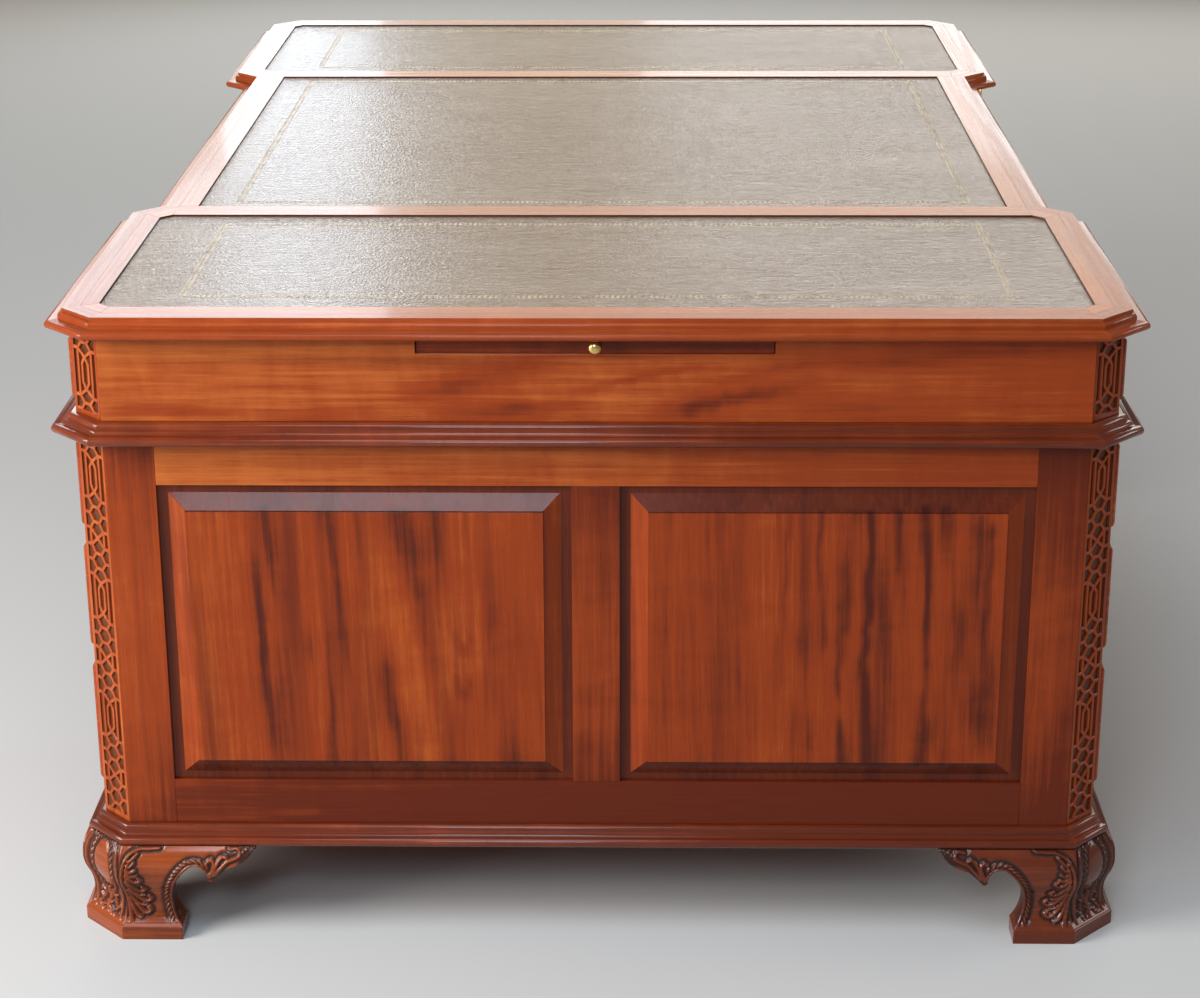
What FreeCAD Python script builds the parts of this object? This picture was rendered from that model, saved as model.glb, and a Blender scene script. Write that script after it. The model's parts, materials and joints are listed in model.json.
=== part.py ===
import FreeCAD, Part
import os

Vector = FreeCAD.Vector

# Double-sided pedestal desk. The origin is on the floor under the middle of the desk, +X runs along
# its length, the two long sides face -Y (front) and +Y (back), and +Z is up.

# Plan of the case, before mouldings
knee_width = 880.0
pedestal_length = 514.0
case_width = 1202.0
corner_cant = 36.0
corner_stile = 24.0
centre_stile = 24.0

# Heights, from the floor up
foot_height = 121.0
base_thickness = 23.0
bottom_rail_show = 34.0
bottom_drawer_height = 151.0
middle_drawer_height = 128.0
top_drawer_height = 104.0
drawer_gap = 26.0
top_rail_show = 19.0
waist_thickness = 23.0
frieze_low_show = 12.0
frieze_drawer_height = 73.0
frieze_high_show = 17.5
top_thickness = 22.5

# Mouldings: how far they stand out of the case, and how far they run in under or over it
top_overhang = 27.0
waist_overhang = 28.0
base_overhang = 20.0
top_lipping_bearing = 12.0
frame_bearing = 30.0

# Boards
frame_thickness = 22.0
spine_thickness = 18.0
carcase_board = 18.0
runner_height = 16.0
runner_bearing = 16.0

# Framed end of a pedestal
stile_width = 58.0
muntin_width = 56.0
top_panel_rail = 55.0
bottom_panel_rail = 57.0
panel_recess = 5.0
panel_tongue = 7.0
panel_groove = 8.0
panel_play = 0.5
panel_side_margin = 12.5
panel_end_margin = 9.5
panel_bevel_width = 20.0
panel_bevel_rise = 9.5
panel_shoulder = 3.5
tenon_length = 26.0
tenon_thickness = 8.0
tenon_shoulder = 14.0

# Sunk ground of the blind fret on the canted corners
fret_border = 4.5
fret_end = 6.0
fret_depth = 2.5

# Leather insets in the top. The banding round them is as thick as their recess is deep.
inset_end_border = 45.0
inset_side_border = 40.0
inset_centre_border = 44.0
inset_gap = 47.0
centre_inset_length = 876.0
inset_cant = 14.0
inset_recess = 4.0
leather_thickness = 2.0

# Drawers
drawer_back_space = 51.0
drawer_front = 22.0
drawer_side = 12.0
drawer_bottom = 8.0
drawer_bottom_rise = 6.0
drawer_groove = 6.0
drawer_play = 1.0
drawer_headroom = 6.0
lip_thickness = 8.0
lip_overlap = 6.0
lip_side_overlap = 8.0
lip_round = 6.0

# Brushing slides in the ends of the frieze
slide_width = 407.0
slide_opening = 21.5
slide_length = 330.0
slide_recess = 2.0
slide_lipping = 12.0
slide_play = 1.0
guide_wall = 14.0
guide_ledge = 6.0
guide_ledge_width = 10.0
guide_spare = 20.0

# Turned brass knobs
drawer_knob_radius = 13.0
drawer_knob_length = 27.0
slide_knob_radius = 8.0
slide_knob_length = 19.0

# Ogee bracket feet
foot_wing = 154.0
foot_swell = 30.0
foot_inset = 10.0
foot_pad_height = 17.0

# Cuts run past the wood by this much, and an edge counts as lying on a face within the touch
overrun = 5.0
touch = 0.01

# Outlines, in shares of the sizes they follow. An entry of one point is a straight edge to it, and
# an entry of two points is an arc through the first to the second.
flat_edge_share = 0.28
top_moulding_shares = (
    ((flat_edge_share, 1.0),), ((flat_edge_share, 0.81),), ((0.40, 0.75), (0.45, 0.61)), ((0.45, 0.47),),
    ((0.83, 0.42),), ((1.0, 0.21), (0.83, 0.0)),
)
case_moulding_shares = (
    ((0.18, 1.0),), ((0.31, 0.93), (0.36, 0.78)), ((0.36, 0.70),), ((0.50, 0.66),),
    ((0.56, 0.52), (0.70, 0.48)), ((0.83, 0.48),), ((1.0, 0.24), (0.83, 0.0)),
)
ogee_shares = (
    ((0.89, 0.154),), ((0.65, 0.325), (0.80, 0.545)), ((0.99, 0.80), (0.68, 1.0)),
)
arch_pad_share = 0.396
arch_shares = (
    ((0.32, 0.46), (0.475, 0.795)), ((0.585, 0.765), (0.63, 0.635)),
    ((0.725, 0.74), (0.80, 0.845)), ((0.90, 0.90), (0.985, 0.975)),
)
knob_shares = (
    ((0.0, 0.0),), ((0.72, 0.0),), ((0.72, 0.09),), ((0.36, 0.16),), ((0.36, 0.40),),
    ((1.0, 0.69), (0.36, 0.98)), ((0.0, 0.98),),
)
single_knob_shares = (0.5,)
paired_knob_shares = (0.24, 0.76)

# Places that follow from the driving sizes
half_knee = knee_width / 2
half_length = half_knee + pedestal_length
half_width = case_width / 2
end_half_width = half_width - corner_cant
drawer_depth = half_width - spine_thickness / 2 - drawer_back_space
centre_drawer_depth = end_half_width - spine_thickness / 2 - drawer_back_space
case_low = foot_height + base_thickness
drawer_stack = bottom_drawer_height + middle_drawer_height + top_drawer_height + 2 * drawer_gap
case_high = case_low + bottom_rail_show + drawer_stack + top_rail_show
frieze_low = case_high + waist_thickness
frieze_high = frieze_low + frieze_low_show + frieze_drawer_height + frieze_high_show
desk_height = frieze_high + top_thickness
flat_overhang = top_overhang * flat_edge_share

end_inner = half_length - frame_thickness
knee_inner = half_knee + frame_thickness
opening_low_x = half_knee + corner_cant + corner_stile
opening_high_x = half_length - corner_cant - corner_stile
centre_opening = half_knee - centre_stile
rail_back = half_width - corner_cant
centre_rail_back = end_half_width - corner_cant
slide_half = slide_width / 2
slide_low = frieze_high - slide_opening
guide_low = slide_low - guide_ledge
frieze_open_low = frieze_low + frieze_low_show + lip_overlap
frieze_open_high = frieze_high - frieze_high_show - lip_overlap
frieze_side_high = min(frieze_open_high - drawer_headroom, guide_low - drawer_play)

desk_plan = [
    (half_length, end_half_width), (half_length - corner_cant, half_width),
    (half_knee + corner_cant, half_width), (half_knee, end_half_width),
    (-half_knee, end_half_width), (-half_knee - corner_cant, half_width),
    (corner_cant - half_length, half_width), (-half_length, end_half_width),
    (-half_length, -end_half_width), (corner_cant - half_length, -half_width),
    (-half_knee - corner_cant, -half_width), (-half_knee, -end_half_width),
    (half_knee, -end_half_width), (half_knee + corner_cant, -half_width),
    (half_length - corner_cant, -half_width), (half_length, -end_half_width),
]
pedestal_plan = desk_plan[:4] + desk_plan[12:]


def box(x, y, z):
    corner = Vector(x[0], y[0], z[0])
    return Part.makeBox(x[1] - x[0], y[1] - y[0], z[1] - z[0], corner)


def prism(points, low, high):
    corners = [Vector(x, y, low) for x, y in points]
    face = Part.Face(Part.makePolygon(corners + corners[:1]))
    return face.extrude(Vector(0, 0, high - low))


def flipped(shape, axis):
    return shape.mirror(Vector(0, 0, 0), axis)


def both_sides(solids):
    # The same pieces on the back of the desk and on its front
    return solids + [flipped(solid, Vector(0, 1, 0)) for solid in solids]


def both_ends(solids):
    return solids + [flipped(solid, Vector(1, 0, 0)) for solid in solids]


def wire(outline, place):
    # A closed wire through an outline's straight edges and arcs
    ends = [place(*part[-1]) for part in outline]
    edges = []
    for index, part in enumerate(outline):
        start = ends[index - 1]
        if len(part) == 1:
            edges.append(Part.LineSegment(start, ends[index]).toShape())
        else:
            edges.append(Part.Arc(start, place(*part[0]), ends[index]).toShape())
    return Part.Wire(edges)


def grown(span, by):
    return (span[0] - by, span[1] + by)


def sized(shares, width, height):
    return [tuple((x * width, z * height) for x, z in part) for part in shares]


# Mouldings are mitred lengths, each a section carried from one corner of the plan to the next
def outward(start, end):
    along = (end - start).normalize()
    return Vector(along.y, -along.x, 0)


def mitre_step(before, after):
    # How far a corner moves when the two faces that meet there move out by one
    return (before + after) / (1 + before.dot(after))


def moulded_length(start, end, start_step, end_step, outline, height):
    # The section runs straight past both corners and is then trimmed to the mitres
    along = (end - start).normalize()
    out_face = outward(start, end)
    outs = [out for part in outline for out, up in part]
    ups = [up for part in outline for out, up in part]
    span = grown((min(outs), max(outs)), overrun)
    past = along * max(span[1], -span[0])
    section = wire(outline, lambda out, up: start - past + out_face * out + Vector(0, 0, height + up))
    length = Part.Face(section).extrude(end - start + past * 2)
    mitred = [
        start + start_step * span[0], start + start_step * span[1],
        end + end_step * span[1], end + end_step * span[0],
    ]
    low, high = grown((height + min(ups), height + max(ups)), overrun)
    return length.common(prism([(corner.x, corner.y) for corner in mitred], low, high)).Solids[0]


def moulding(plan, outline, height):
    corners = [Vector(x, y, 0) for x, y in plan]
    faces = [outward(corner, corners[index - len(corners) + 1]) for index, corner in enumerate(corners)]
    steps = [mitre_step(faces[index - 1], face) for index, face in enumerate(faces)]
    lengths = []
    for index, corner in enumerate(corners):
        after = index - len(corners) + 1
        lengths.append(moulded_length(corner, corners[after], steps[index], steps[after], outline, height))
    return lengths


def offset_plan(plan, distance):
    corners = [Vector(x, y, 0) for x, y in plan]
    faces = [outward(corner, corners[index - len(corners) + 1]) for index, corner in enumerate(corners)]
    moved = []
    for index, corner in enumerate(corners):
        moved.append(corner + mitre_step(faces[index - 1], faces[index]) * distance)
    return [(corner.x, corner.y) for corner in moved]


def top_moulding():
    inner = (((-top_lipping_bearing, 0.0),), ((-top_lipping_bearing, top_thickness),))
    outline = list(inner) + sized(top_moulding_shares, top_overhang, top_thickness)
    return moulding(desk_plan, outline, frieze_high)


def case_moulding(plan, overhang, thickness, height):
    inner = (((-frame_bearing, 0.0),), ((-frame_bearing, thickness),))
    outline = list(inner) + sized(case_moulding_shares, overhang, thickness)
    return moulding(plan, outline, height)


# Top: three joined boards, banding mitred round the insets, and the leather
def inset_plans():
    centre_x = centre_inset_length / 2
    centre_y = end_half_width + flat_overhang - inset_centre_border
    low_x = centre_x + inset_gap
    high_x = half_length + flat_overhang - inset_end_border
    side_y = half_width + flat_overhang - inset_side_border
    centre = [(-centre_x, -centre_y), (centre_x, -centre_y), (centre_x, centre_y), (-centre_x, centre_y)]
    end = [
        (high_x, side_y - inset_cant), (high_x - inset_cant, side_y),
        (low_x + inset_cant, side_y), (low_x, side_y - inset_cant),
        (low_x, inset_cant - side_y), (low_x + inset_cant, -side_y),
        (high_x - inset_cant, -side_y), (high_x, inset_cant - side_y),
    ]
    return {"left": [(-x, y) for x, y in reversed(end)], "centre": centre, "right": end}


inset_bed = desk_height - inset_recess


def top_board():
    edge = offset_plan(desk_plan, -top_lipping_bearing)
    end = edge[:4] + edge[12:]
    centre = [edge[3], edge[4], edge[11], edge[12]]
    return both_ends([prism(end, frieze_high, inset_bed)]) + [prism(centre, frieze_high, inset_bed)]


def top_banding():
    edge = offset_plan(desk_plan, -top_lipping_bearing)
    border = edge[:4] + edge[12:]
    insets = inset_plans()
    inset = insets["right"]
    centre_x, centre_y = insets["centre"][2]
    end_strips = []
    for index, corner in enumerate(border):
        after = index - len(border) + 1
        strip = [corner, border[after], inset[after], inset[index]]
        if corner == edge[3]:
            strip[1:1] = [(centre_x, corner[1]), (centre_x, border[after][1])]
        end_strips.append(prism(strip, inset_bed, desk_height))
    side = [
        (centre_x, centre_y), (centre_x, edge[3][1]),
        (-centre_x, edge[3][1]), (-centre_x, centre_y),
    ]
    return both_ends(end_strips) + both_sides([prism(side, inset_bed, desk_height)])


def leather(plan):
    return prism(plan, inset_bed, inset_bed + leather_thickness)


# Canted corner posts, each with a sunk ground for its fret
def corner_post(tip_x, turn, low, high):
    # turn is 1 for the post at the inner end of the pedestal and -1 for the post at its outer end
    back_x = tip_x + turn * (corner_cant + corner_stile)
    plan = [
        (tip_x, end_half_width), (tip_x + turn * corner_cant, half_width),
        (back_x, half_width), (back_x, end_half_width),
    ]
    post = prism(plan, low, high)
    first = Vector(tip_x, end_half_width, 0)
    last = Vector(tip_x + turn * corner_cant, half_width, 0)
    along = (last - first).normalize()
    out = Vector(-turn * along.y, turn * along.x, 0)
    ground = [
        first + along * fret_border + out * overrun, last - along * fret_border + out * overrun,
        last - along * fret_border - out * fret_depth, first + along * fret_border - out * fret_depth,
    ]
    return post.cut(prism([(point.x, point.y) for point in ground], low + fret_end, high - fret_end))


def corner_posts():
    posts = []
    for low, high in ((case_low, case_high), (frieze_low, frieze_high)):
        posts.append(corner_post(half_length, -1, low, high))
        posts.append(corner_post(half_knee, 1, low, high))
    return both_sides(posts)


# Framed and panelled end of a pedestal
panel_y = (muntin_width / 2, end_half_width - stile_width)
panel_z = (case_low + bottom_panel_rail, case_high - top_panel_rail)
tenon_back = end_inner + (frame_thickness - tenon_thickness) / 2
tenon_x = (tenon_back, tenon_back + tenon_thickness)


def end_frame():
    x = (end_inner, half_length)
    panel_x = (half_length - panel_recess - panel_tongue, half_length - panel_recess)
    grooves = both_sides([box(panel_x, grown(panel_y, panel_groove), grown(panel_z, panel_groove))])
    rails = []
    rail_tenons = []
    for z in ((case_low, panel_z[0]), (panel_z[1], case_high)):
        tenon = box(tenon_x, grown((-panel_y[1], panel_y[1]), tenon_length), grown(z, -tenon_shoulder))
        rail_tenons.append(tenon)
        rails.append(box(x, (-panel_y[1], panel_y[1]), z).fuse(tenon))
    muntin_y = (-panel_y[0], panel_y[0])
    muntin_tenon = box(tenon_x, grown(muntin_y, -tenon_shoulder), grown(panel_z, tenon_length))
    muntin = box(x, muntin_y, panel_z).fuse(muntin_tenon)
    rails = [rail.cut(muntin_tenon) for rail in rails]
    stile = box(x, (panel_y[1], end_half_width), (case_low, case_high))
    stiles = [side.cut(Part.makeCompound(rail_tenons)) for side in both_sides([stile])]
    return [piece.cut(Part.makeCompound(grooves)) for piece in stiles + rails + [muntin]]


def rectangle(x, y, z):
    corners = [Vector(x, y[i], z[j]) for i, j in ((0, 0), (1, 0), (1, 1), (0, 1), (0, 0))]
    return Part.makePolygon(corners)


def fielded_panel():
    back = half_length - panel_recess - panel_tongue
    margin_face = half_length - panel_recess
    bevel_face = margin_face + panel_bevel_rise
    tongue = panel_groove - panel_play
    plate = box((back, margin_face), grown(panel_y, tongue), grown(panel_z, tongue))
    outer_y, outer_z = grown(panel_y, -panel_side_margin), grown(panel_z, -panel_end_margin)
    field_y, field_z = grown(outer_y, -panel_bevel_width), grown(outer_z, -panel_bevel_width)
    bevel_ends = [rectangle(margin_face, outer_y, outer_z), rectangle(bevel_face, field_y, field_z)]
    bevel = Part.makeLoft(bevel_ends, True, True)
    field = box((margin_face, bevel_face + panel_shoulder), field_y, field_z)
    return plate.fuse([bevel, field]).removeSplitter()


# Drawer openings: each is (low x, high x, low z, high z) of the hole in the face of the case
def pedestal_openings():
    openings = []
    low = case_low + bottom_rail_show
    for height in (bottom_drawer_height, middle_drawer_height, top_drawer_height):
        openings.append((opening_low_x, opening_high_x, low + lip_overlap, low + height - lip_overlap))
        low += height + drawer_gap
    return openings


def pedestal_carcase():
    x = (knee_inner, end_inner)
    y = (-rail_back, rail_back)
    inner_z = (case_low + carcase_board, case_high - carcase_board)
    boards = [
        box((half_knee, knee_inner), (-end_half_width, end_half_width), (case_low, case_high)),
        box(x, y, (case_low, inner_z[0])),
        box(x, y, (inner_z[1], case_high)),
        box(x, (-spine_thickness / 2, spine_thickness / 2), inner_z),
    ]
    rails = []
    runners = []
    rail_low = case_low
    for opening in pedestal_openings():
        rails.append(box(opening[:2], (rail_back, half_width), (rail_low, opening[2])))
        rail_low = opening[3]
        run_y = (spine_thickness / 2, rail_back)
        run_z = (opening[2] - runner_height, opening[2])
        runners.append(box((knee_inner, opening[0] + runner_bearing), run_y, run_z))
        runners.append(box((opening[1] - runner_bearing, end_inner), run_y, run_z))
    rails.append(box((opening_low_x, opening_high_x), (rail_back, half_width), (rail_low, case_high)))
    return boards + both_sides(rails + runners)


# Frieze: the shallow upper case that holds three drawers on each long side and a slide in each end
def frieze_end():
    board = box((end_inner, half_length), (-end_half_width, end_half_width), (frieze_low, frieze_high))
    slot_x = grown((end_inner, half_length), overrun)
    return board.cut(box(slot_x, (-slide_half, slide_half), (slide_low, frieze_high + overrun)))


def frieze_rails():
    levels = ((frieze_low, frieze_open_low), (frieze_open_high, frieze_high))
    sides = [box((opening_low_x, opening_high_x), (rail_back, half_width), z) for z in levels]
    centre_y = (centre_rail_back, end_half_width)
    stile = box((centre_opening, half_knee), centre_y, (frieze_low, frieze_high))
    centre = [box((-centre_opening, centre_opening), centre_y, z) for z in levels]
    return both_sides(both_ends(sides + [stile]) + centre)


def frieze_inner_frame():
    floor = prism(offset_plan(desk_plan, -frame_bearing), case_high, frieze_low)
    partition = box((half_knee, knee_inner), (-end_half_width, end_half_width), (frieze_low, frieze_high))
    spine_y = (-spine_thickness / 2, spine_thickness / 2)
    end_spine = box((knee_inner, end_inner), spine_y, (frieze_low, guide_low))
    centre_spine = box((-half_knee, half_knee), spine_y, (frieze_low, frieze_high))
    run_z = (frieze_low, frieze_open_low)
    run_y = (spine_thickness / 2, rail_back)
    runners = [
        box((knee_inner, opening_low_x + runner_bearing), run_y, run_z),
        box((opening_high_x - runner_bearing, end_inner), run_y, run_z),
        box((centre_opening - runner_bearing, half_knee), (spine_thickness / 2, centre_rail_back), run_z),
    ]
    guide_x = (end_inner - slide_length - guide_spare, end_inner)
    guides = [
        box(guide_x, (slide_half, slide_half + guide_wall), (guide_low, frieze_high)),
        box(guide_x, (slide_half - guide_ledge_width, slide_half), (guide_low, slide_low)),
    ]
    return [floor, centre_spine] + both_ends([partition, end_spine] + both_sides(runners + guides))


# A drawer with a lipped front: front, two sides, back and a bottom held in grooves
def drawer(opening, side_high, face, depth):
    low_x, high_x, low_z, high_z = opening
    front_y = (face - drawer_front, face)
    back_y = face - depth
    body_x = grown((low_x, high_x), -drawer_play)
    bottom_z = (low_z + drawer_bottom_rise, low_z + drawer_bottom_rise + drawer_bottom)
    inner_x = grown(body_x, -drawer_side)
    bottom = box(grown(inner_x, drawer_groove), (back_y, front_y[0] + drawer_groove), bottom_z)
    lip_x = grown((low_x, high_x), lip_side_overlap)
    lip = box(lip_x, (face, face + lip_thickness), grown((low_z, high_z), lip_overlap))
    edges = [edge for edge in lip.Edges if edge.BoundBox.YMin > face + lip_thickness - touch]
    lip = lip.makeFillet(lip_round, edges)
    front = box(body_x, front_y, grown((low_z, high_z), -drawer_play)).fuse(lip).cut(bottom)
    side_y = (back_y, front_y[0])
    sides = [
        box((body_x[0], inner_x[0]), side_y, (low_z, side_high)).cut(bottom),
        box((inner_x[1], body_x[1]), side_y, (low_z, side_high)).cut(bottom),
    ]
    back = box(inner_x, (back_y, back_y + drawer_side), (bottom_z[1], side_high))
    return [front] + sides + [back, bottom]


def turned_knob(radius, length, seat, direction):
    profile = wire(sized(knob_shares, radius, length), lambda out, along: Vector(out, 0, along))
    knob = Part.Face(profile).revolve(Vector(0, 0, 0), Vector(0, 0, 1), 360)
    knob.Placement = FreeCAD.Placement(seat, FreeCAD.Rotation(Vector(0, 0, 1), direction))
    return knob


def drawer_knobs(opening, face, place_shares):
    low_x, high_x, low_z, high_z = opening
    middle = (low_z + high_z) / 2
    places = [low_x + (high_x - low_x) * share for share in place_shares]
    seats = [Vector(x, face + lip_thickness, middle) for x in places]
    return [turned_knob(drawer_knob_radius, drawer_knob_length, seat, Vector(0, 1, 0)) for seat in seats]


def brushing_slide():
    y = grown((-slide_half, slide_half), -slide_play)
    z = (slide_low, frieze_high - slide_play)
    front_x = half_length - slide_recess
    board = box((half_length - slide_length, front_x - slide_lipping), y, z)
    lipping = box((front_x - slide_lipping, front_x), y, z)
    return [board, lipping]


def slide_knob():
    middle = (slide_low + frieze_high - slide_play) / 2
    seat = Vector(half_length - slide_recess, 0, middle)
    return turned_knob(slide_knob_radius, slide_knob_length, seat, Vector(1, 0, 0))


# An ogee bracket foot: a canted corner block between two wings, each wing cut to its arch
def foot_arch(corner, along, out):
    arcs = sized(arch_shares, foot_wing, foot_height)
    pad = arch_pad_share * foot_wing
    past = foot_wing + overrun
    tip = arcs[-1][-1]
    outline = [((past, tip[1]),), ((past, -overrun),), ((pad, -overrun),), ((pad, foot_pad_height),)] + arcs
    reach = foot_inset + overrun
    profile = wire(outline, lambda run, up: corner + along * run - out * reach + Vector(0, 0, up))
    return Part.Face(profile).extrude(out * (reach + foot_swell + overrun))


def bracket_foot(plan):
    # plan runs anticlockwise: tip of one wing, two ends of the cant, tip of the other wing
    corners = [Vector(x, y, 0) for x, y in plan]
    faces = [outward(corners[index], corners[index + 1]) for index in range(3)]
    steps = [faces[0], mitre_step(faces[0], faces[1]), mitre_step(faces[1], faces[2]), faces[2]]
    pad = [
        ((-foot_inset, foot_height),), ((-foot_inset, 0.0),),
        ((foot_swell, 0.0),), ((foot_swell, foot_pad_height),),
    ]
    outline = pad + sized(ogee_shares, foot_swell, foot_height)
    pieces = []
    for index in range(3):
        after = index + 1
        pieces.append(moulded_length(corners[index], corners[after], steps[index], steps[after], outline, 0))
    first_arch = foot_arch(corners[1], (corners[0] - corners[1]).normalize(), faces[0])
    last_arch = foot_arch(corners[2], (corners[3] - corners[2]).normalize(), faces[2])
    return [pieces[0].cut(first_arch), pieces[1], pieces[2].cut(last_arch)]


def bracket_feet():
    outer = [
        (half_length, end_half_width - foot_wing), (half_length, end_half_width),
        (half_length - corner_cant, half_width), (half_length - corner_cant - foot_wing, half_width),
    ]
    inner = [
        (half_knee + corner_cant + foot_wing, half_width), (half_knee + corner_cant, half_width),
        (half_knee, end_half_width), (half_knee, end_half_width - foot_wing),
    ]
    return both_ends(both_sides(bracket_foot(outer) + bracket_foot(inner)))


# Every node of the desk, as a list of its solids. Right is the +X end and back is the +Y side.
def fixed_nodes():
    right = {
        "corner_posts": corner_posts(),
        "end_frame": end_frame(),
        "end_panels": both_sides([fielded_panel()]),
        "pedestal_carcase": pedestal_carcase(),
        "base_moulding": case_moulding(pedestal_plan, base_overhang, base_thickness, foot_height),
    }
    nodes = {
        "top_board": top_board() + top_banding(),
        "top_moulding": top_moulding(),
        "frieze_ends": both_ends([frieze_end()]),
        "frieze_rails": frieze_rails(),
        "frieze_inner_frame": frieze_inner_frame(),
        "waist_moulding": case_moulding(desk_plan, waist_overhang, waist_thickness, case_high),
        "bracket_feet": bracket_feet(),
    }
    for place, plan in inset_plans().items():
        nodes["leather_" + place] = [leather(plan)]
    for name, solids in right.items():
        nodes[name + "_right"] = solids
        nodes[name + "_left"] = [flipped(solid, Vector(1, 0, 0)) for solid in solids]
    return nodes


def back_right_drawers():
    # Name, opening, height of the sides, face and depth of each drawer in the right half of the back
    frieze = (opening_low_x, opening_high_x, frieze_open_low, frieze_open_high)
    rows = [("frieze", frieze, frieze_side_high, half_width, drawer_depth)]
    for name, opening in zip(("bottom", "middle", "top"), pedestal_openings()):
        rows.append((name, opening, opening[3] - drawer_headroom, half_width, drawer_depth))
    return rows


def centre_drawer():
    opening = (-centre_opening, centre_opening, frieze_open_low, frieze_open_high)
    return ("frieze", opening, frieze_side_high, end_half_width, centre_drawer_depth)


def moving_nodes():
    built = {}
    for row in back_right_drawers() + [centre_drawer()]:
        name, opening, side_high, face, depth = row
        column = "right" if opening[0] > 0 else "centre"
        node = column + "_" + name + "_drawer"
        built[node] = drawer(opening, side_high, face, depth)
        if column == "centre":
            built[node + "_knobs"] = drawer_knobs(opening, face, paired_knob_shares)
        else:
            built[node + "_knob"] = drawer_knobs(opening, face, single_knob_shares)
    for node, solids in list(built.items()):
        if node.startswith("right"):
            built[node.replace("right", "left")] = [flipped(solid, Vector(1, 0, 0)) for solid in solids]
    nodes = {}
    for node, solids in built.items():
        nodes["back_" + node] = solids
        nodes["front_" + node] = [flipped(solid, Vector(0, 1, 0)) for solid in solids]
    slide = {"brushing_slide": brushing_slide(), "slide_knob": [slide_knob()]}
    for node, solids in slide.items():
        nodes[node + "_right"] = solids
        nodes[node + "_left"] = [flipped(solid, Vector(1, 0, 0)) for solid in solids]
    return nodes


def main():
    os.makedirs("parts", exist_ok=True)
    nodes = {**fixed_nodes(), **moving_nodes()}
    for name, solids in nodes.items():
        shape = solids[0] if len(solids) == 1 else Part.makeCompound(solids)
        shape.exportStep("parts/" + name + ".step")
    print(len(nodes), "nodes,", sum(len(solids) for solids in nodes.values()), "solids, height", desk_height)


main()
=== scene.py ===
import json
import math
import random

import bmesh
import bpy
import numpy as np
from mathutils import Matrix, Vector
from mathutils.geometry import delaunay_2d_cdt
from mathutils.kdtree import KDTree

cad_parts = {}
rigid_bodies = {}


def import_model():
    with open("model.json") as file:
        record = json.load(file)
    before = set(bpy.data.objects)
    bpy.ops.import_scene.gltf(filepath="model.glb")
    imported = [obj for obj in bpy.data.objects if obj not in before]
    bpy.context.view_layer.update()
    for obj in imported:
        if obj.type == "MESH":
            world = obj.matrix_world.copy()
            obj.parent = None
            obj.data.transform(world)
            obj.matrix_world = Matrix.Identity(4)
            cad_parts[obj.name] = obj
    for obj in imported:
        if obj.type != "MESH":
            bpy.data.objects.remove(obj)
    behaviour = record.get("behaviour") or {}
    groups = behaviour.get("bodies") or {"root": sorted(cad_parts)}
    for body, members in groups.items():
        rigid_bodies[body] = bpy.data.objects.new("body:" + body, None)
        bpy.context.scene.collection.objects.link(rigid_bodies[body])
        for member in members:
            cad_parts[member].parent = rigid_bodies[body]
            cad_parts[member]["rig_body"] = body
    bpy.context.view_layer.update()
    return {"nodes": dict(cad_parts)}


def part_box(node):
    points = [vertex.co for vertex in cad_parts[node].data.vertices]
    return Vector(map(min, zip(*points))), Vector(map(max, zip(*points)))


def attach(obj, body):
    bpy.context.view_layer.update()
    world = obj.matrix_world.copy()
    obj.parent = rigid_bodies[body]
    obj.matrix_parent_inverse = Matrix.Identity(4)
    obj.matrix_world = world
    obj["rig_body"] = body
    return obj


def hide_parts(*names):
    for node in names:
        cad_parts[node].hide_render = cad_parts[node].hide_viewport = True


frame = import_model()
nodes = frame["nodes"]
print("frame loaded:", len(nodes), "nodes")

# Places of the case, read from the frame (metres)
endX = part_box("end_frame_right")[1].x
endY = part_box("end_frame_right")[1].y
kneeX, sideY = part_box("corner_posts_right")[0].x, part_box("corner_posts_right")[1].y
cant = sideY - endY
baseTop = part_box("base_moulding_right")[1].z
waistLow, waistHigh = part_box("waist_moulding")[0].z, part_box("waist_moulding")[1].z
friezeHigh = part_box("top_moulding")[0].z
mmPerMetre = 1000


# Node tree helpers: inputs may be plain values or the sockets that feed them
def setInputs(tree, node, inputs):
    for name, value in inputs.items():
        if isinstance(value, bpy.types.NodeSocket):
            tree.links.new(value, node.inputs[name])
        else:
            node.inputs[name].default_value = value


def addNode(tree, kind, inputs=None, **settings):
    node = tree.nodes.new(kind)
    for name, value in settings.items():
        setattr(node, name, value)
    setInputs(tree, node, inputs or {})
    return node


def addMath(tree, operation, first, second=0.0):
    return addNode(tree, "ShaderNodeMath", {0: first, 1: second}, operation=operation).outputs[0]


def addStretch(tree, vector, stretch):
    inputs = {0: vector, 1: stretch}
    return addNode(tree, "ShaderNodeVectorMath", inputs, operation="MULTIPLY").outputs[0]


def addNoise(tree, vector, scale, detail=2.0, roughness=0.5, distortion=0.0, stretch=None):
    inputs = {"Vector": addStretch(tree, vector, stretch) if stretch else vector, "Scale": scale,
              "Detail": detail, "Roughness": roughness, "Distortion": distortion}
    return addNode(tree, "ShaderNodeTexNoise", inputs).outputs[0]


def addStep(tree, value, low, high, toLow=0.0, toHigh=1.0):
    inputs = {"Value": value, "From Min": low, "From Max": high, "To Min": toLow, "To Max": toHigh}
    return addNode(tree, "ShaderNodeMapRange", inputs, interpolation_type="SMOOTHSTEP").outputs[0]


def addMix(tree, factor, first, second, blend="MIX"):
    inputs = {0: factor, 6: first, 7: second}
    return addNode(tree, "ShaderNodeMix", inputs, data_type="RGBA", blend_type=blend).outputs[2]


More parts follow.
